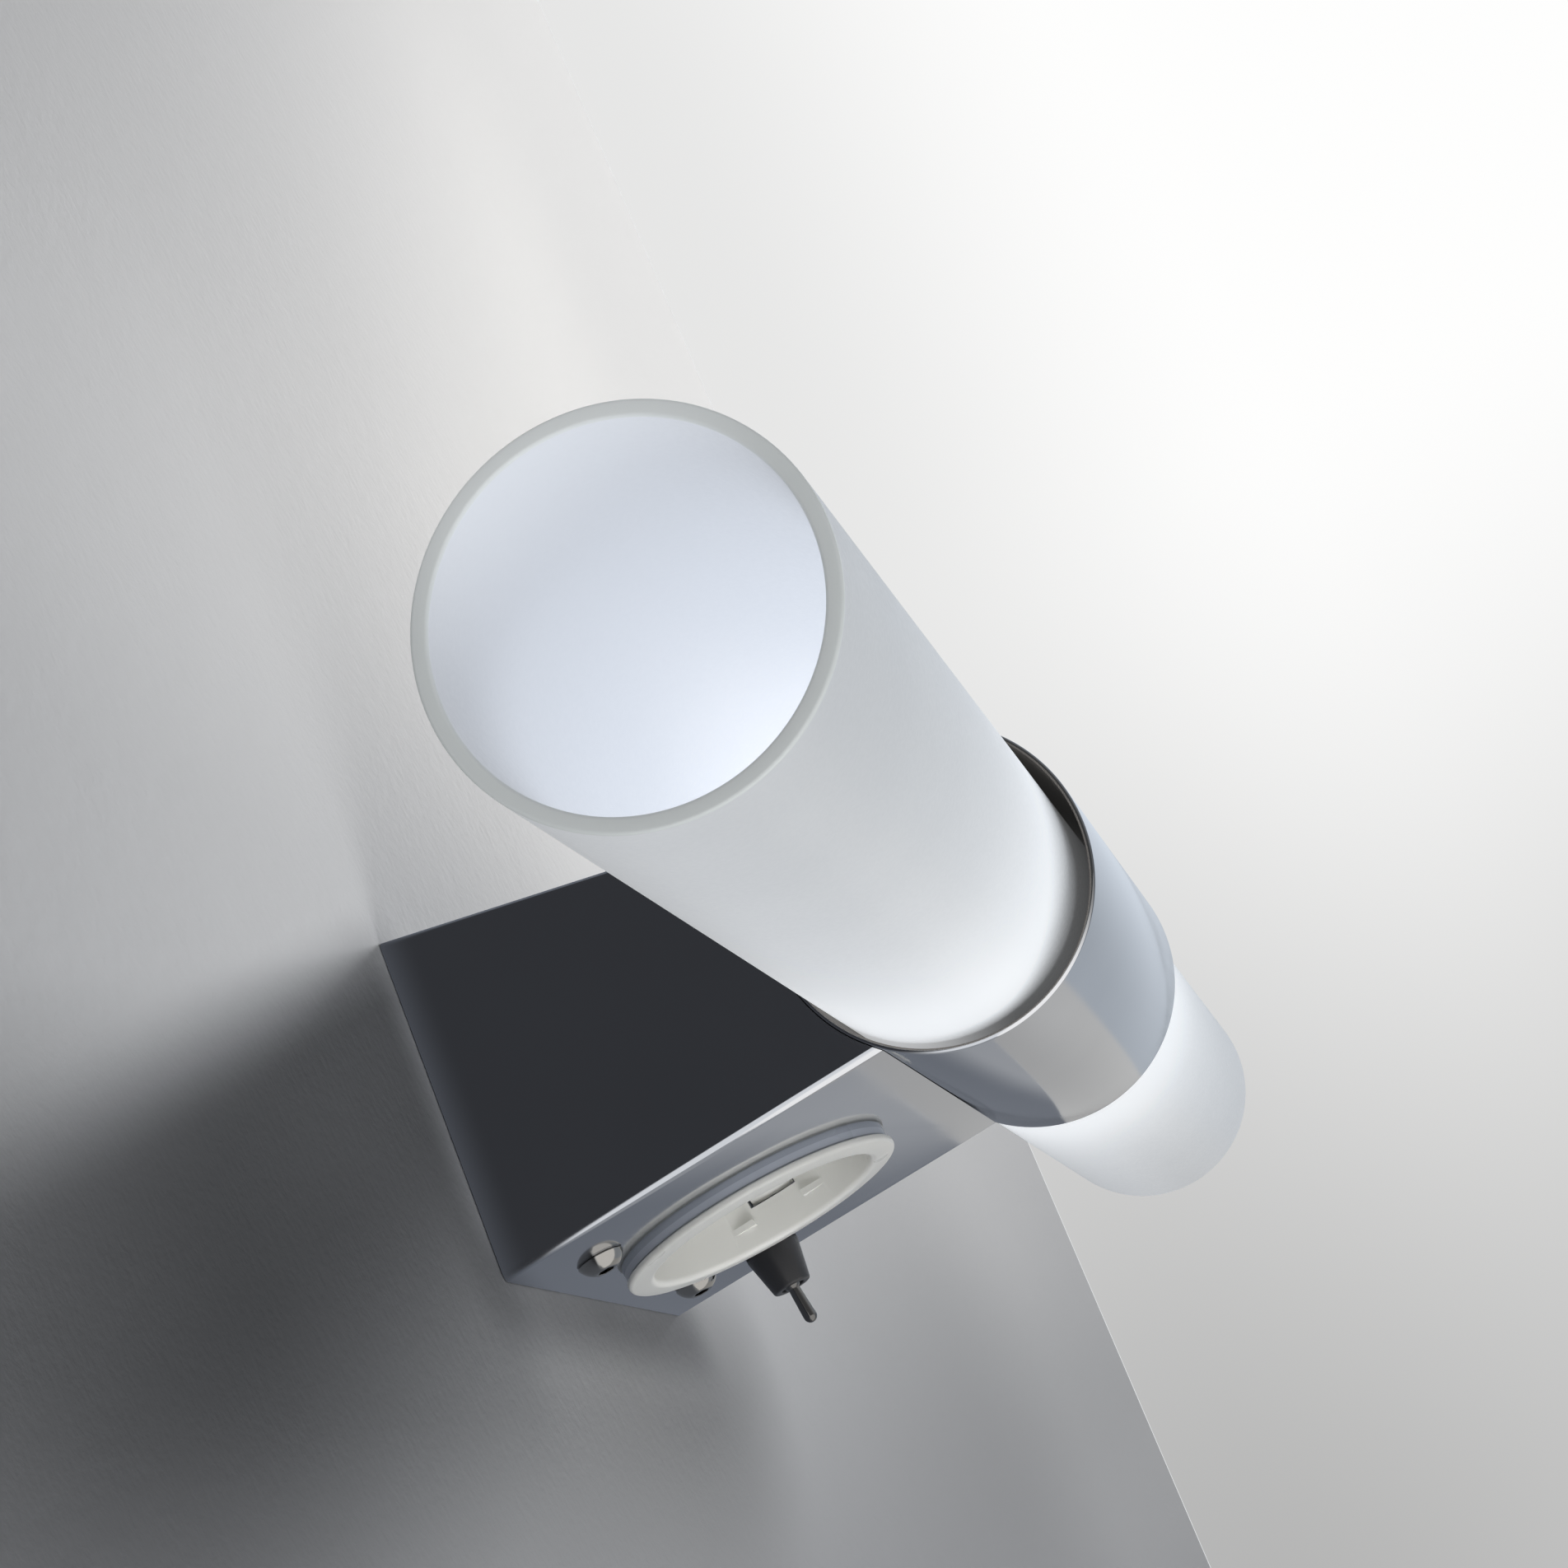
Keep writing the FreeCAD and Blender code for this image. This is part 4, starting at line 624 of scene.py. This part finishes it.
def make_housing():
    """The tapered box: an outer skin with its long corners rounded, less its cavity."""
    skin = wedge(HOUSING_END, HOUSING_HALF_HEIGHT, 0)
    slanted = [edge for edge in skin.edges
               if abs(edge.verts[0].co.y - edge.verts[1].co.y) > HOUSING_END / 2]
    bmesh.ops.bevel(skin, geom=slanted, offset=HOUSING_EDGE, offset_type="OFFSET", affect="EDGES",
                    segments=8, profile=0.5, material=-1)
    box = loose("tapered_box", skin)
    inner_height = HOUSING_HALF_HEIGHT - HOUSING_WALL / math.cos(HOUSING_TAPER)
    room = loose("room", wedge(HOUSING_END - HOUSING_WALL, inner_height, HOUSING_WALL))
    axis = at(0, SLEEVE_AXIS, 0) @ ABOUT_X
    carve(room, [drum(SADDLE_RADIUS + SADDLE_WEB, -HOUSING_END, HOUSING_END, axis, 160)])
    cavity = bmesh.new()
    cavity.from_mesh(room.data)
    bpy.data.objects.remove(room)
    carve(box, [cavity, drum(SADDLE_RADIUS, -2 * HOUSING_END, 2 * HOUSING_END, axis, 160)])
    deep = 3 * HOUSING_WALL
    openings = [drum(SOCKET_HOLE, -deep, deep, underside(0, SOCKET_DEPTH), 96),
                drum(SWITCH_HOLE, -deep, deep, underside(SWITCH_OFFSET, SWITCH_DEPTH)),
                drum(STEM_HOLE, 0, -SLEEVE_AXIS, at(0, SLEEVE_AXIS, 0) @ ABOUT_Y)]
    openings += [drum(SCREW_HOLE, -deep, deep, underside(side * SCREW_OFFSET, SCREW_DEPTH))
                 for side in (-1, 1)]
    carve(box, openings)
    soften(fitted(box, ["housing"]), 0.15 * MM)


def make_cover_screws():
    """Two button-head screws with hexagon sockets."""
    shank, shank_length, neck = 2.0 * MM, 7 * MM, 3.6 * MM
    head_height, head_radius, dome_radius = 2.2 * MM, 3.8 * MM, 3.4 * MM
    key_radius, key_depth, past_head = 1.45 * MM, 0.9 * MM, 3 * MM
    heads = []
    for side in (-1, 1):
        outline = [(shank_length, 0), (shank_length, shank), (0, shank), (0, neck)]
        outline += bulge((-0.25 * MM, head_radius), (-head_height, head_radius / 2), dome_radius)
        outline += [(-head_height, 0)]
        place = underside(side * SCREW_OFFSET, SCREW_DEPTH)
        heads.append(spun(outline, place, closed=False, steps=64))
    screws = loose("button_screws", joined(heads))
    keys = [drum(key_radius, -past_head, -key_depth, underside(side * SCREW_OFFSET, SCREW_DEPTH), 6)
            for side in (-1, 1)]
    carve(screws, keys)
    soften(fitted(screws, ["cover_screws"]), 0.08 * MM)


# ---------------------------------------------------------------- socket outlet

RECESS_FLOOR = 14.6 * MM
FLANGE_RADIUS = 24.0 * MM
FLANGE_HEIGHT = 2.9 * MM
RING_START = 1.45 * MM
CUP_RADIUS = 22.1 * MM
CUP_END = 16.6 * MM
CLIP_SLOT_WIDTH = 8.6 * MM
CLIP_SLOT_START = 3.8 * MM
GUIDE_OFFSET, GUIDE_WIDTH = 6.6 * MM, 4 * MM
PIN_OFFSET, PIN_HOLE = 9.5 * MM, 2.7 * MM
MIDDLE_HOLE = 1.75 * MM


def socket_outline():
    """The front's outline, from the back of its cup round the flange to the recess's floor."""
    cup_corner, edge, flange_edge = 0.5 * MM, 0.1 * MM, 0.2 * MM
    lip, lip_round, floor_round = RECESS_RADIUS + 1.1 * MM, 1.0 * MM, 0.8 * MM
    rim_start, rim_end, rim_round = 2.1 * MM, 2.65 * MM, 0.7 * MM
    crown_start, crown_edge, crown_radius = 2.67 * MM, FLANGE_RADIUS - 0.8 * MM, 18 * MM
    groove_radius = FLANGE_RADIUS - 0.8 * MM
    collar_radius = FLANGE_RADIUS - 0.4 * MM
    outline = [(CUP_END, 0), (CUP_END, CUP_RADIUS - cup_corner), (CUP_END - cup_corner, CUP_RADIUS)]
    outline += [(0, CUP_RADIUS), (0, collar_radius), (-COLLAR_HEIGHT + edge, collar_radius)]
    outline += [(-COLLAR_HEIGHT, collar_radius - edge), (-COLLAR_HEIGHT, groove_radius)]
    outline += [(-RING_START, groove_radius)]
    outline += bulge((-RING_START, FLANGE_RADIUS - flange_edge),
                     (-RING_START - flange_edge, FLANGE_RADIUS), flange_edge, 3)
    outline += bulge((-rim_start, FLANGE_RADIUS), (-rim_end, FLANGE_RADIUS - rim_round), rim_round)
    outline += bulge((-crown_start, crown_edge), (-FLANGE_HEIGHT, lip), crown_radius, 6)
    outline += bulge((-FLANGE_HEIGHT, lip - edge), (-FLANGE_HEIGHT + lip_round, RECESS_RADIUS),
                     lip_round)
    outline += bulge((RECESS_FLOOR, RECESS_RADIUS - floor_round),
                     (RECESS_FLOOR - floor_round, RECESS_RADIUS), floor_round)[::-1]
    return outline + [(RECESS_FLOOR, 0)]


def side_block(side, inner, outer, width, depths, place, middle=0):
    """A block through one side (-1 or 1) of the recess's wall, between two depths."""
    near, far = sorted((side * (RECESS_RADIUS - inner), side * (RECESS_RADIUS + outer)))
    low = (near, middle - width / 2, depths[0])
    high = (far, middle + width / 2, depths[1])
    return slab(low, high, place)


def make_socket_face():
    """The white front: a flange above a collar, which carries painted shade, and a fine groove, a
    round recess with guide ribs and clip slots, and a floor with two pin holes."""
    place = underside(0, SOCKET_DEPTH)
    turned = place @ Matrix.Rotation(math.radians(90), 4, "Z")
    past_floor, past_cup = RECESS_FLOOR + 1 * MM, CUP_END + 1 * MM
    # How far each block reaches inside and outside the recess's wall, its width and its depths.
    rib = (1.5 * MM, 1.3 * MM, 5 * MM, (2.5 * MM, past_floor))
    guide = (2.0 * MM, 0.6 * MM, GUIDE_WIDTH, (0.9 * MM, 1.9 * MM))
    clip_slot = (1.8 * MM, 1.8 * MM, CLIP_SLOT_WIDTH, (CLIP_SLOT_START, past_cup))
    face = loose("socket_front", spun(socket_outline(), place, closed=False, steps=128))
    ribs = []
    for side in (-1, 1):
        ribs.append(side_block(side, *rib, turned))
        for middle in (-GUIDE_OFFSET, GUIDE_OFFSET):
            ribs.append(side_block(side, *guide, place, middle))
    carve(face, ribs, "UNION")
    floor_start = RECESS_FLOOR - 1 * MM
    cutters = [drum(PIN_HOLE, floor_start, past_cup, place @ at(0, side * PIN_OFFSET, 0), 48)
               for side in (-1, 1)]
    cutters += [side_block(side, *clip_slot, place) for side in (-1, 1)]
    cutters.append(drum(MIDDLE_HOLE, floor_start, past_cup, place, 32))
    carve(face, cutters)
    soften(fitted(face, ["socket_face"]), 0.2 * MM)


# ---------------------------------------------------------------- toggle switch

def make_switch_nut():
    """The black cone: a moulded nut with a rounded mouth for the lever."""
    height, foot, top = 7.4 * MM, 4.9 * MM, 3.4 * MM
    thread, mouth, lip = 3.0 * MM, 2.1 * MM, 0.4 * MM
    corners = [(0, thread), (0, foot, 0.25 * MM), (-height, top, 0.5 * MM),
               (-height, mouth, 0.2 * MM), (lip - height, mouth), (lip - height, thread)]
    place = underside(SWITCH_OFFSET, SWITCH_DEPTH)
    nut = loose("switch_nut", spun(rounded(corners), place))
    fitted(nut, ["switch_cone"])


def make_toggle():
    """The lever: a ball, a rod that thickens to a round tip, and a thin tail inside."""
    ball_depth, rod_length, tail_length = 6.3 * MM, 6.7 * MM, 13.7 * MM
    ball, root, tip, tail = 1.7 * MM, 1.0 * MM, 1.2 * MM, 0.6 * MM
    tilt = math.radians(-10)
    pivot = underside(SWITCH_OFFSET, SWITCH_DEPTH) @ at(0, 0, -ball_depth)
    place = pivot @ Matrix.Rotation(tilt, 4, "Y")
    outline = bulge((tail_length, 0), (tail_length - tail, tail), tail)
    outline += bulge((math.sqrt(ball ** 2 - tail ** 2), tail), (0, ball), ball)
    outline += bulge((0, ball), (-math.sqrt(ball ** 2 - root ** 2), root), ball)[1:]
    outline += bulge((-rod_length, tip), (-rod_length - tip, 0), tip)
    lever = loose("toggle", spun(outline, place, closed=False, steps=64))
    fitted(lever, ["switch_lever"], body="lever", finish=DARK_NICKEL, sharp=25)


# ---------------------------------------------------------------- lamps

COIL_START = 58.7 * MM
COIL_END = 72.7 * MM


def make_capsule(side, end):
    """A glass capsule: a narrow foot, a straight body and a domed top with its sealed tip."""
    shoulder, tip, dome = 3.0 * MM, 0.7 * MM, 6.0 * MM
    foot_radius, foot_bore = 5.1 * MM, 4.9 * MM
    dome_top = LAMP_TIP - 0.9 * MM
    outer = bulge((LAMP_TIP, 0), (LAMP_TIP - tip, tip), tip, 5)
    outer += [(dome_top - 0.1 * MM, 1.5 * tip)]
    outer += bulge((dome_top - 0.4 * MM, 2.2 * tip), (dome_top - dome, LAMP_RADIUS), LAMP_RADIUS,
                   12)
    outer += [(LAMP_FOOT + 2 * shoulder, LAMP_RADIUS),
              (LAMP_FOOT + 1.4 * shoulder, LAMP_RADIUS - 0.2 * MM),
              (LAMP_FOOT + shoulder, LAMP_RADIUS - 0.7 * MM),
              (LAMP_FOOT + 0.5 * shoulder, foot_radius + 0.1 * MM), (LAMP_FOOT, foot_radius)]
    bore = LAMP_RADIUS - LAMP_WALL
    inner = [(LAMP_FOOT, foot_bore), (LAMP_FOOT + 0.5 * shoulder, foot_bore)]
    inner += [(LAMP_FOOT + shoulder, foot_bore + 0.2 * MM), (LAMP_FOOT + 2 * shoulder, bore)]
    inner += bulge((dome_top - LAMP_WALL, 0), (dome_top - dome, bore), bore, 12)[::-1]
    glass = spun(outer + inner, lamp_end(side), closed=False, steps=72)
    fitted(loose("glass_capsule_" + end, glass), ["lamp_capsule_" + end], sharp=50)


def make_filament(side, end):
    """A tungsten coil on its support wire: a helix that starts with a straight end."""
    turns, steps = 15, 14
    coil_radius, wire_radius = 0.62 * MM, 0.16 * MM
    lead_in = 1.2 * MM
    pitch = (COIL_END - COIL_START - wire_radius) / turns
    points = [(0, 0, LAMP_FOOT), (0, 0, COIL_START - lead_in)]
    for step in range(turns * steps + 1):
        angle = math.tau * step / steps
        along = COIL_START + pitch * step / steps
        points.append((coil_radius * math.cos(angle), coil_radius * math.sin(angle), along))
    curve = bpy.data.curves.new("coil", "CURVE")
    curve.dimensions = "3D"
    curve.bevel_depth = wire_radius
    curve.bevel_resolution = 2
    curve.use_fill_caps = True
    line = curve.splines.new("POLY")
    line.points.add(len(points) - 1)
    for point, place in zip(line.points, points):
        point.co = (*(lamp_end(side) @ Vector(place)), 1)
    drawn = bpy.data.objects.new("coil", curve)
    bpy.context.scene.collection.objects.link(drawn)
    graph = bpy.context.evaluated_depsgraph_get()
    mesh = bpy.data.meshes.new_from_object(drawn.evaluated_get(graph))
    bpy.data.objects.remove(drawn)
    coil = bpy.data.objects.new("glowing_coil_" + end, mesh)
    bpy.context.scene.collection.objects.link(coil)
    fitted(coil, ["lamp_filament_" + end], sharp=60)


# ---------------------------------------------------------------- hidden pieces, edges softened

# Each piece's name, the CAD node that it copies and the width of its rounded edges in mm.
HIDDEN_PIECES = {
    "mounting_plate": ("wall_plate", 0.18), "entry_grommet": ("cable_grommet", 0.25),
    "back_pad": ("outer_pad", 0.2), "saddle_pad": ("inner_pad", 0.25),
    "hollow_stem": ("stem", 0.2), "stem_spacer": ("stem_washer", 0.15),
    "outer_stem_nut": ("stem_nut_housing", 0.3), "inner_stem_nut": ("stem_nut_tube", 0.3),
    "carrier_strip": ("lamp_carrier", 0.2), "holder_rivets": ("lampholder_rivets", 0.2),
    "left_ceramic_holder": ("lampholder_left", 0.5),
    "right_ceramic_holder": ("lampholder_right", 0.5),
    "left_lamp_foot": ("lamp_base_left", 0.35), "right_lamp_foot": ("lamp_base_right", 0.35),
    "left_lamp_pins": ("lamp_pins_left", 0.2), "right_lamp_pins": ("lamp_pins_right", 0.2),
    "outlet_base": ("socket_base", 0.4), "outlet_contacts": ("socket_contacts", 0.12),
    "earth_clips": ("earth_strap", 0.12), "outlet_screw": ("socket_screw", 0.2),
    "spring_latches": ("socket_latches", 0.1), "threaded_bushing": ("switch_frame", 0.12),
    "lever_pin": ("switch_pin", 0.08), "spring_washer": ("switch_washer", 0.12),
    "switch_case": ("switch_body", 0.3), "switch_blades": ("switch_terminals", 0.1),
    "connector_block": ("terminal_block", 0.25), "connector_tubes": ("terminal_sleeves", 0.12),
    "connector_screws": ("terminal_screws", 0.12), "earth_terminal": ("earth_screw", 0.2),
    "earth_lock_washer": ("earth_washer", 0.1),
}


def refined(name, node, width, body="fixture"):
    """A closed copy of a CAD piece whose sharp edges are rounded."""
    shape = bmesh.new()
    shape.from_mesh(frame["nodes"][node].data)
    bmesh.ops.remove_doubles(shape, verts=shape.verts, dist=0.002 * MM)
    bmesh.ops.dissolve_limit(shape, angle_limit=math.radians(1), verts=shape.verts,
                             edges=shape.edges)
    soften(fitted(loose(name, shape), [node], body), width * MM, angle=40)


def make_hidden_pieces():
    for name, (node, width) in HIDDEN_PIECES.items():
        refined(name, node, width)
    refined("moving_contact", "switch_rocker", 0.1, body="rocker")


# ---------------------------------------------------------------- the CAD's own pieces

def dress_nodes():
    """Gives every CAD node its finish. Only the two lamp leads have no new piece in their place."""
    for node, thing in frame["nodes"].items():
        thing.data.materials.clear()
        thing.data.materials.append(SLOT_FINISH[SLOT_OF[node]])
        thing.data.shade_smooth()
        thing.data.set_sharp_from_angle(angle=math.radians(30))


# ---------------------------------------------------------------- room, lights and camera

# Where the right-hand wall stands, how high the floor lies, half the room's size, the gap between
# the box and the wall, and how much paler the wall looks than it lights.
CORNER = 0.68
FLOOR = -1.3
ROOM = 2.6
WALL_GAP = 0.2 * MM
WALL_GAIN = 1.47


def seen_ray(paint):
    """1 on camera, glossy and transmission rays, which show a surface's painted light."""
    camera, glossy, through = [paint.ray(kind) for kind in ("Camera", "Glossy", "Transmission")]
    direct = camera.math("MAXIMUM", camera, glossy)
    return direct.math("MAXIMUM", direct, through)


def one_sided(paint, shader):
    """Lets a surface be seen only from its front."""
    back = paint.node("ShaderNodeNewGeometry", output="Backfacing")
    clear = paint.node("ShaderNodeBsdfTransparent")
    return paint.node("ShaderNodeMixShader", inputs=[back, shader, clear])


def wall_level(paint, across, up):
    """How bright the wall is painted: most to the upper right, with the shade left of the box
    deepened and a painted contact shadow where the box's lower edge meets it."""
    side = paint.blend(across - up, -0.36, 0.06, 0.33, 0.645)
    rise = up - across * 0.12
    height = paint.blend(rise, -0.11, 0.16, 0.35, 1.09) * paint.blend(rise, -0.32, -0.11, 0.5, 1.0)
    far_right = paint.blend(across, 0.30, 0.52) * paint.blend(up, 0.10, 0, -0.08, 0.2)
    slant = up - across * 0.33
    shade = paint.blend(slant, 0.052, 0.034) * paint.blend(slant, -0.045, 0.015)
    shade = shade * paint.blend(across, -0.03, -0.06) * paint.blend(across, -0.33, -0.14)
    # Painted contact shadow just below the box's lower edge.
    contact = paint.blend(abs(up + 0.029), 0.014, 0.002) * paint.blend(abs(across), 0.07, 0.045)
    return side * height * (1 + far_right) * (1 - shade * 0.73) * (1 - contact * 0.4)


def wall_in_mirrors(paint, across, up):
    """What reflections show of the wall: the left dark, but bright below, and the right grey."""
    rise, fall = paint.blend(up, -0.16, -0.08), paint.blend(up, -0.06, -0.15)
    left = paint.mix(rise, (0.95, 0.97, 1.0, 1), (0.045, 0.047, 0.053, 1))
    right = paint.mix(fall, (0.17, 0.185, 0.215, 1), (0.37, 0.385, 0.41, 1))
    colour = paint.mix(paint.blend(across, -0.02, -0.07), right, left)
    return paint.node("ShaderNodeEmission", inputs={"Color": colour})


def wall_paint():
    """Pale plaster with a fine grain, with painted light and shade. Reflections show their own
    picture of it.
    """
    paint = Finish("wall_paint")
    across, _, up = paint.axes()
    level = wall_level(paint, across, up)
    tint = paint.mix(level, (0.95, 0.98, 1.04, 1), (1.035, 1.01, 0.965, 1))
    plaster = paint.noise(420.0, 4.0, 0.6) + paint.noise(90.0, 2.0)
    normal = paint.bump(plaster, 0.25 * MM, 0.7)
    shown_colour = paint.tinted(tint, level * WALL_GAIN)
    shown = paint.node("ShaderNodeBsdfDiffuse", inputs={"Color": shown_colour, "Normal": normal})
    matt = paint.node("ShaderNodeBsdfDiffuse", inputs={"Color": paint.tinted(tint, level)})
    plain = paint.node("ShaderNodeMixShader", inputs=[seen_ray(paint), matt, shown])
    mirrored = wall_in_mirrors(paint, across, up)
    whole = paint.node("ShaderNodeMixShader", inputs=[paint.ray("Glossy"), plain, mirrored])
    return paint.done(one_sided(paint, whole))


def far_wall_paint():
    """The wall to the right, painted as lit and nearly white above. Reflections show it cooler,
    apart from the part below the sleeve."""
    paint = Finish("far_wall_paint")
    _, along, up = paint.axes()
    level = paint.blend(up, -0.15, 0.30, 0.56, 0.99) * paint.blend(along, 0.0, -0.2, 0.80, 1.0)
    round_sleeve = paint.node("ShaderNodeMath", {"operation": "ARCTAN2"}, [up, SLEEVE_AXIS - along])
    cool = paint.ray("Glossy") * paint.blend(round_sleeve, math.radians(-56), math.radians(-50))
    tone = paint.mix(cool, (1.0, 1.0, 0.995, 1), (0.80, 0.87, 0.96, 1))
    colour = paint.tinted(tone, level)
    shown = paint.node("ShaderNodeEmission", inputs={"Color": colour, "Strength": 1.0})
    matt = paint.node("ShaderNodeBsdfDiffuse", inputs={"Color": (0.7, 0.7, 0.7, 1)})
    whole = paint.node("ShaderNodeMixShader", inputs=[seen_ray(paint), matt, shown])
    return paint.done(one_sided(paint, whole))


def floor_paint():
    """A pale floor, brighter in reflections."""
    paint = Finish("floor_paint")
    colour = paint.mix(paint.noise(3.0, 2.0), grey(0.72, 0.01), grey(0.76, 0.01))
    matt = paint.skin(Base_Color=colour, Roughness=0.7)
    glow = paint.tinted(colour, 1.2 + paint.ray("Glossy") * 0.5)
    shown = paint.node("ShaderNodeEmission", inputs={"Color": glow, "Strength": 1.0})
    return paint.done(paint.node("ShaderNodeMixShader", inputs=[seen_ray(paint), matt, shown]))


def sheet(name, place, width, height, material):
    """A flat stage surface whose front faces its place's Z."""
    shape = bmesh.new()
    bmesh.ops.create_grid(shape, x_segments=1, y_segments=1, size=0.5)
    bmesh.ops.scale(shape, vec=(width, height, 1), verts=shape.verts)
    bmesh.ops.transform(shape, matrix=place, verts=shape.verts)
    thing = loose(name, shape)
    thing.data.materials.append(material)
    return thing


def make_room():
    facing_room = Matrix.Rotation(math.radians(90), 4, "X")
    facing_left = Matrix.Rotation(math.radians(-90), 4, "Y")
    sheet("wall", at(CORNER - ROOM, WALL_GAP, 0) @ facing_room, 2 * ROOM, 2 * ROOM, wall_paint())
    far_place = at(CORNER, -ROOM, 0) @ facing_left
    far = sheet("far_wall", far_place, 2 * ROOM, 2 * ROOM, far_wall_paint())
    far.visible_shadow = False
    far.visible_diffuse = False
    sheet("floor", at(0, -ROOM, FLOOR), 4 * ROOM, 4 * ROOM, floor_paint())


def lamp(name, place, aim, size, power):
    """A soft square lamp that is aimed at a point and doesn't show itself."""
    light = bpy.data.lights.new(name, "AREA")
    light.shape = "SQUARE"
    light.size = size
    light.energy = power
    thing = bpy.data.objects.new(name, light)
    bpy.context.scene.collection.objects.link(thing)
    thing.location = place
    thing.rotation_euler = (Vector(aim) - Vector(place)).to_track_quat("-Z", "Y").to_euler()
    thing.visible_camera = False
    thing.visible_glossy = False


def make_light():
    middle = (0, -0.05, 0)
    lamp("key", (8.68, -4.34, 2.39), middle, 2.0, 980)
    lamp("left_fill", (-1.9, -0.3, 0.1), middle, 0.8, 5)
    lamp("low_fill", (-0.45, -0.2, -1.2), middle, 1.0, 15)
    make_world()


def make_world():
    """A soft sky that lights a little, with a pale backdrop. Reflections show its left dark."""
    world = bpy.data.worlds.new("soft_world")
    bpy.context.scene.world = world
    world.use_nodes = True
    sky = Shading(world.node_tree)
    direction = sky.node("ShaderNodeTexCoord", output="Generated")
    across = sky.node("ShaderNodeSeparateXYZ", inputs=[direction])
    mirrored = sky.blend(across, -0.7, 0.3, 0.12, 0.75) * sky.ray("Glossy")
    strength = mirrored + sky.ray("Camera") * 0.7 + 0.15
    background = world.node_tree.nodes["Background"]
    background.inputs["Color"].default_value = (0.95, 0.965, 0.98, 1)
    world.node_tree.links.new(strength.socket, background.inputs["Strength"])


def make_camera():
    """A camera low on the left, which looks along the tube and a little up."""
    place = at(-0.5015, -0.1271, -0.1125)
    aim = Vector((0.9501, 0.1281, 0.2845))
    right = Vector((0.2324, -0.8990, -0.3713))
    data = bpy.data.cameras.new("camera")
    data.sensor_width = 36.0
    data.lens = 74.28
    data.clip_start = 0.01
    thing = bpy.data.objects.new("camera", data)
    bpy.context.scene.collection.objects.link(thing)
    thing.matrix_world = place @ Matrix((right, right.cross(aim), -aim)).transposed().to_4x4()
    bpy.context.scene.camera = thing


# ---------------------------------------------------------------- build

dress_nodes()
make_glass_tube()
make_sleeve()
make_housing()
make_cover_screws()
make_socket_face()
make_switch_nut()
make_toggle()
for lamp_side, lamp_name in ((-1, "left"), (1, "right")):
    make_capsule(lamp_side, lamp_name)
    make_filament(lamp_side, lamp_name)
make_hidden_pieces()
make_room()
make_light()
make_camera()
bpy.context.scene.view_settings.view_transform = "Standard"
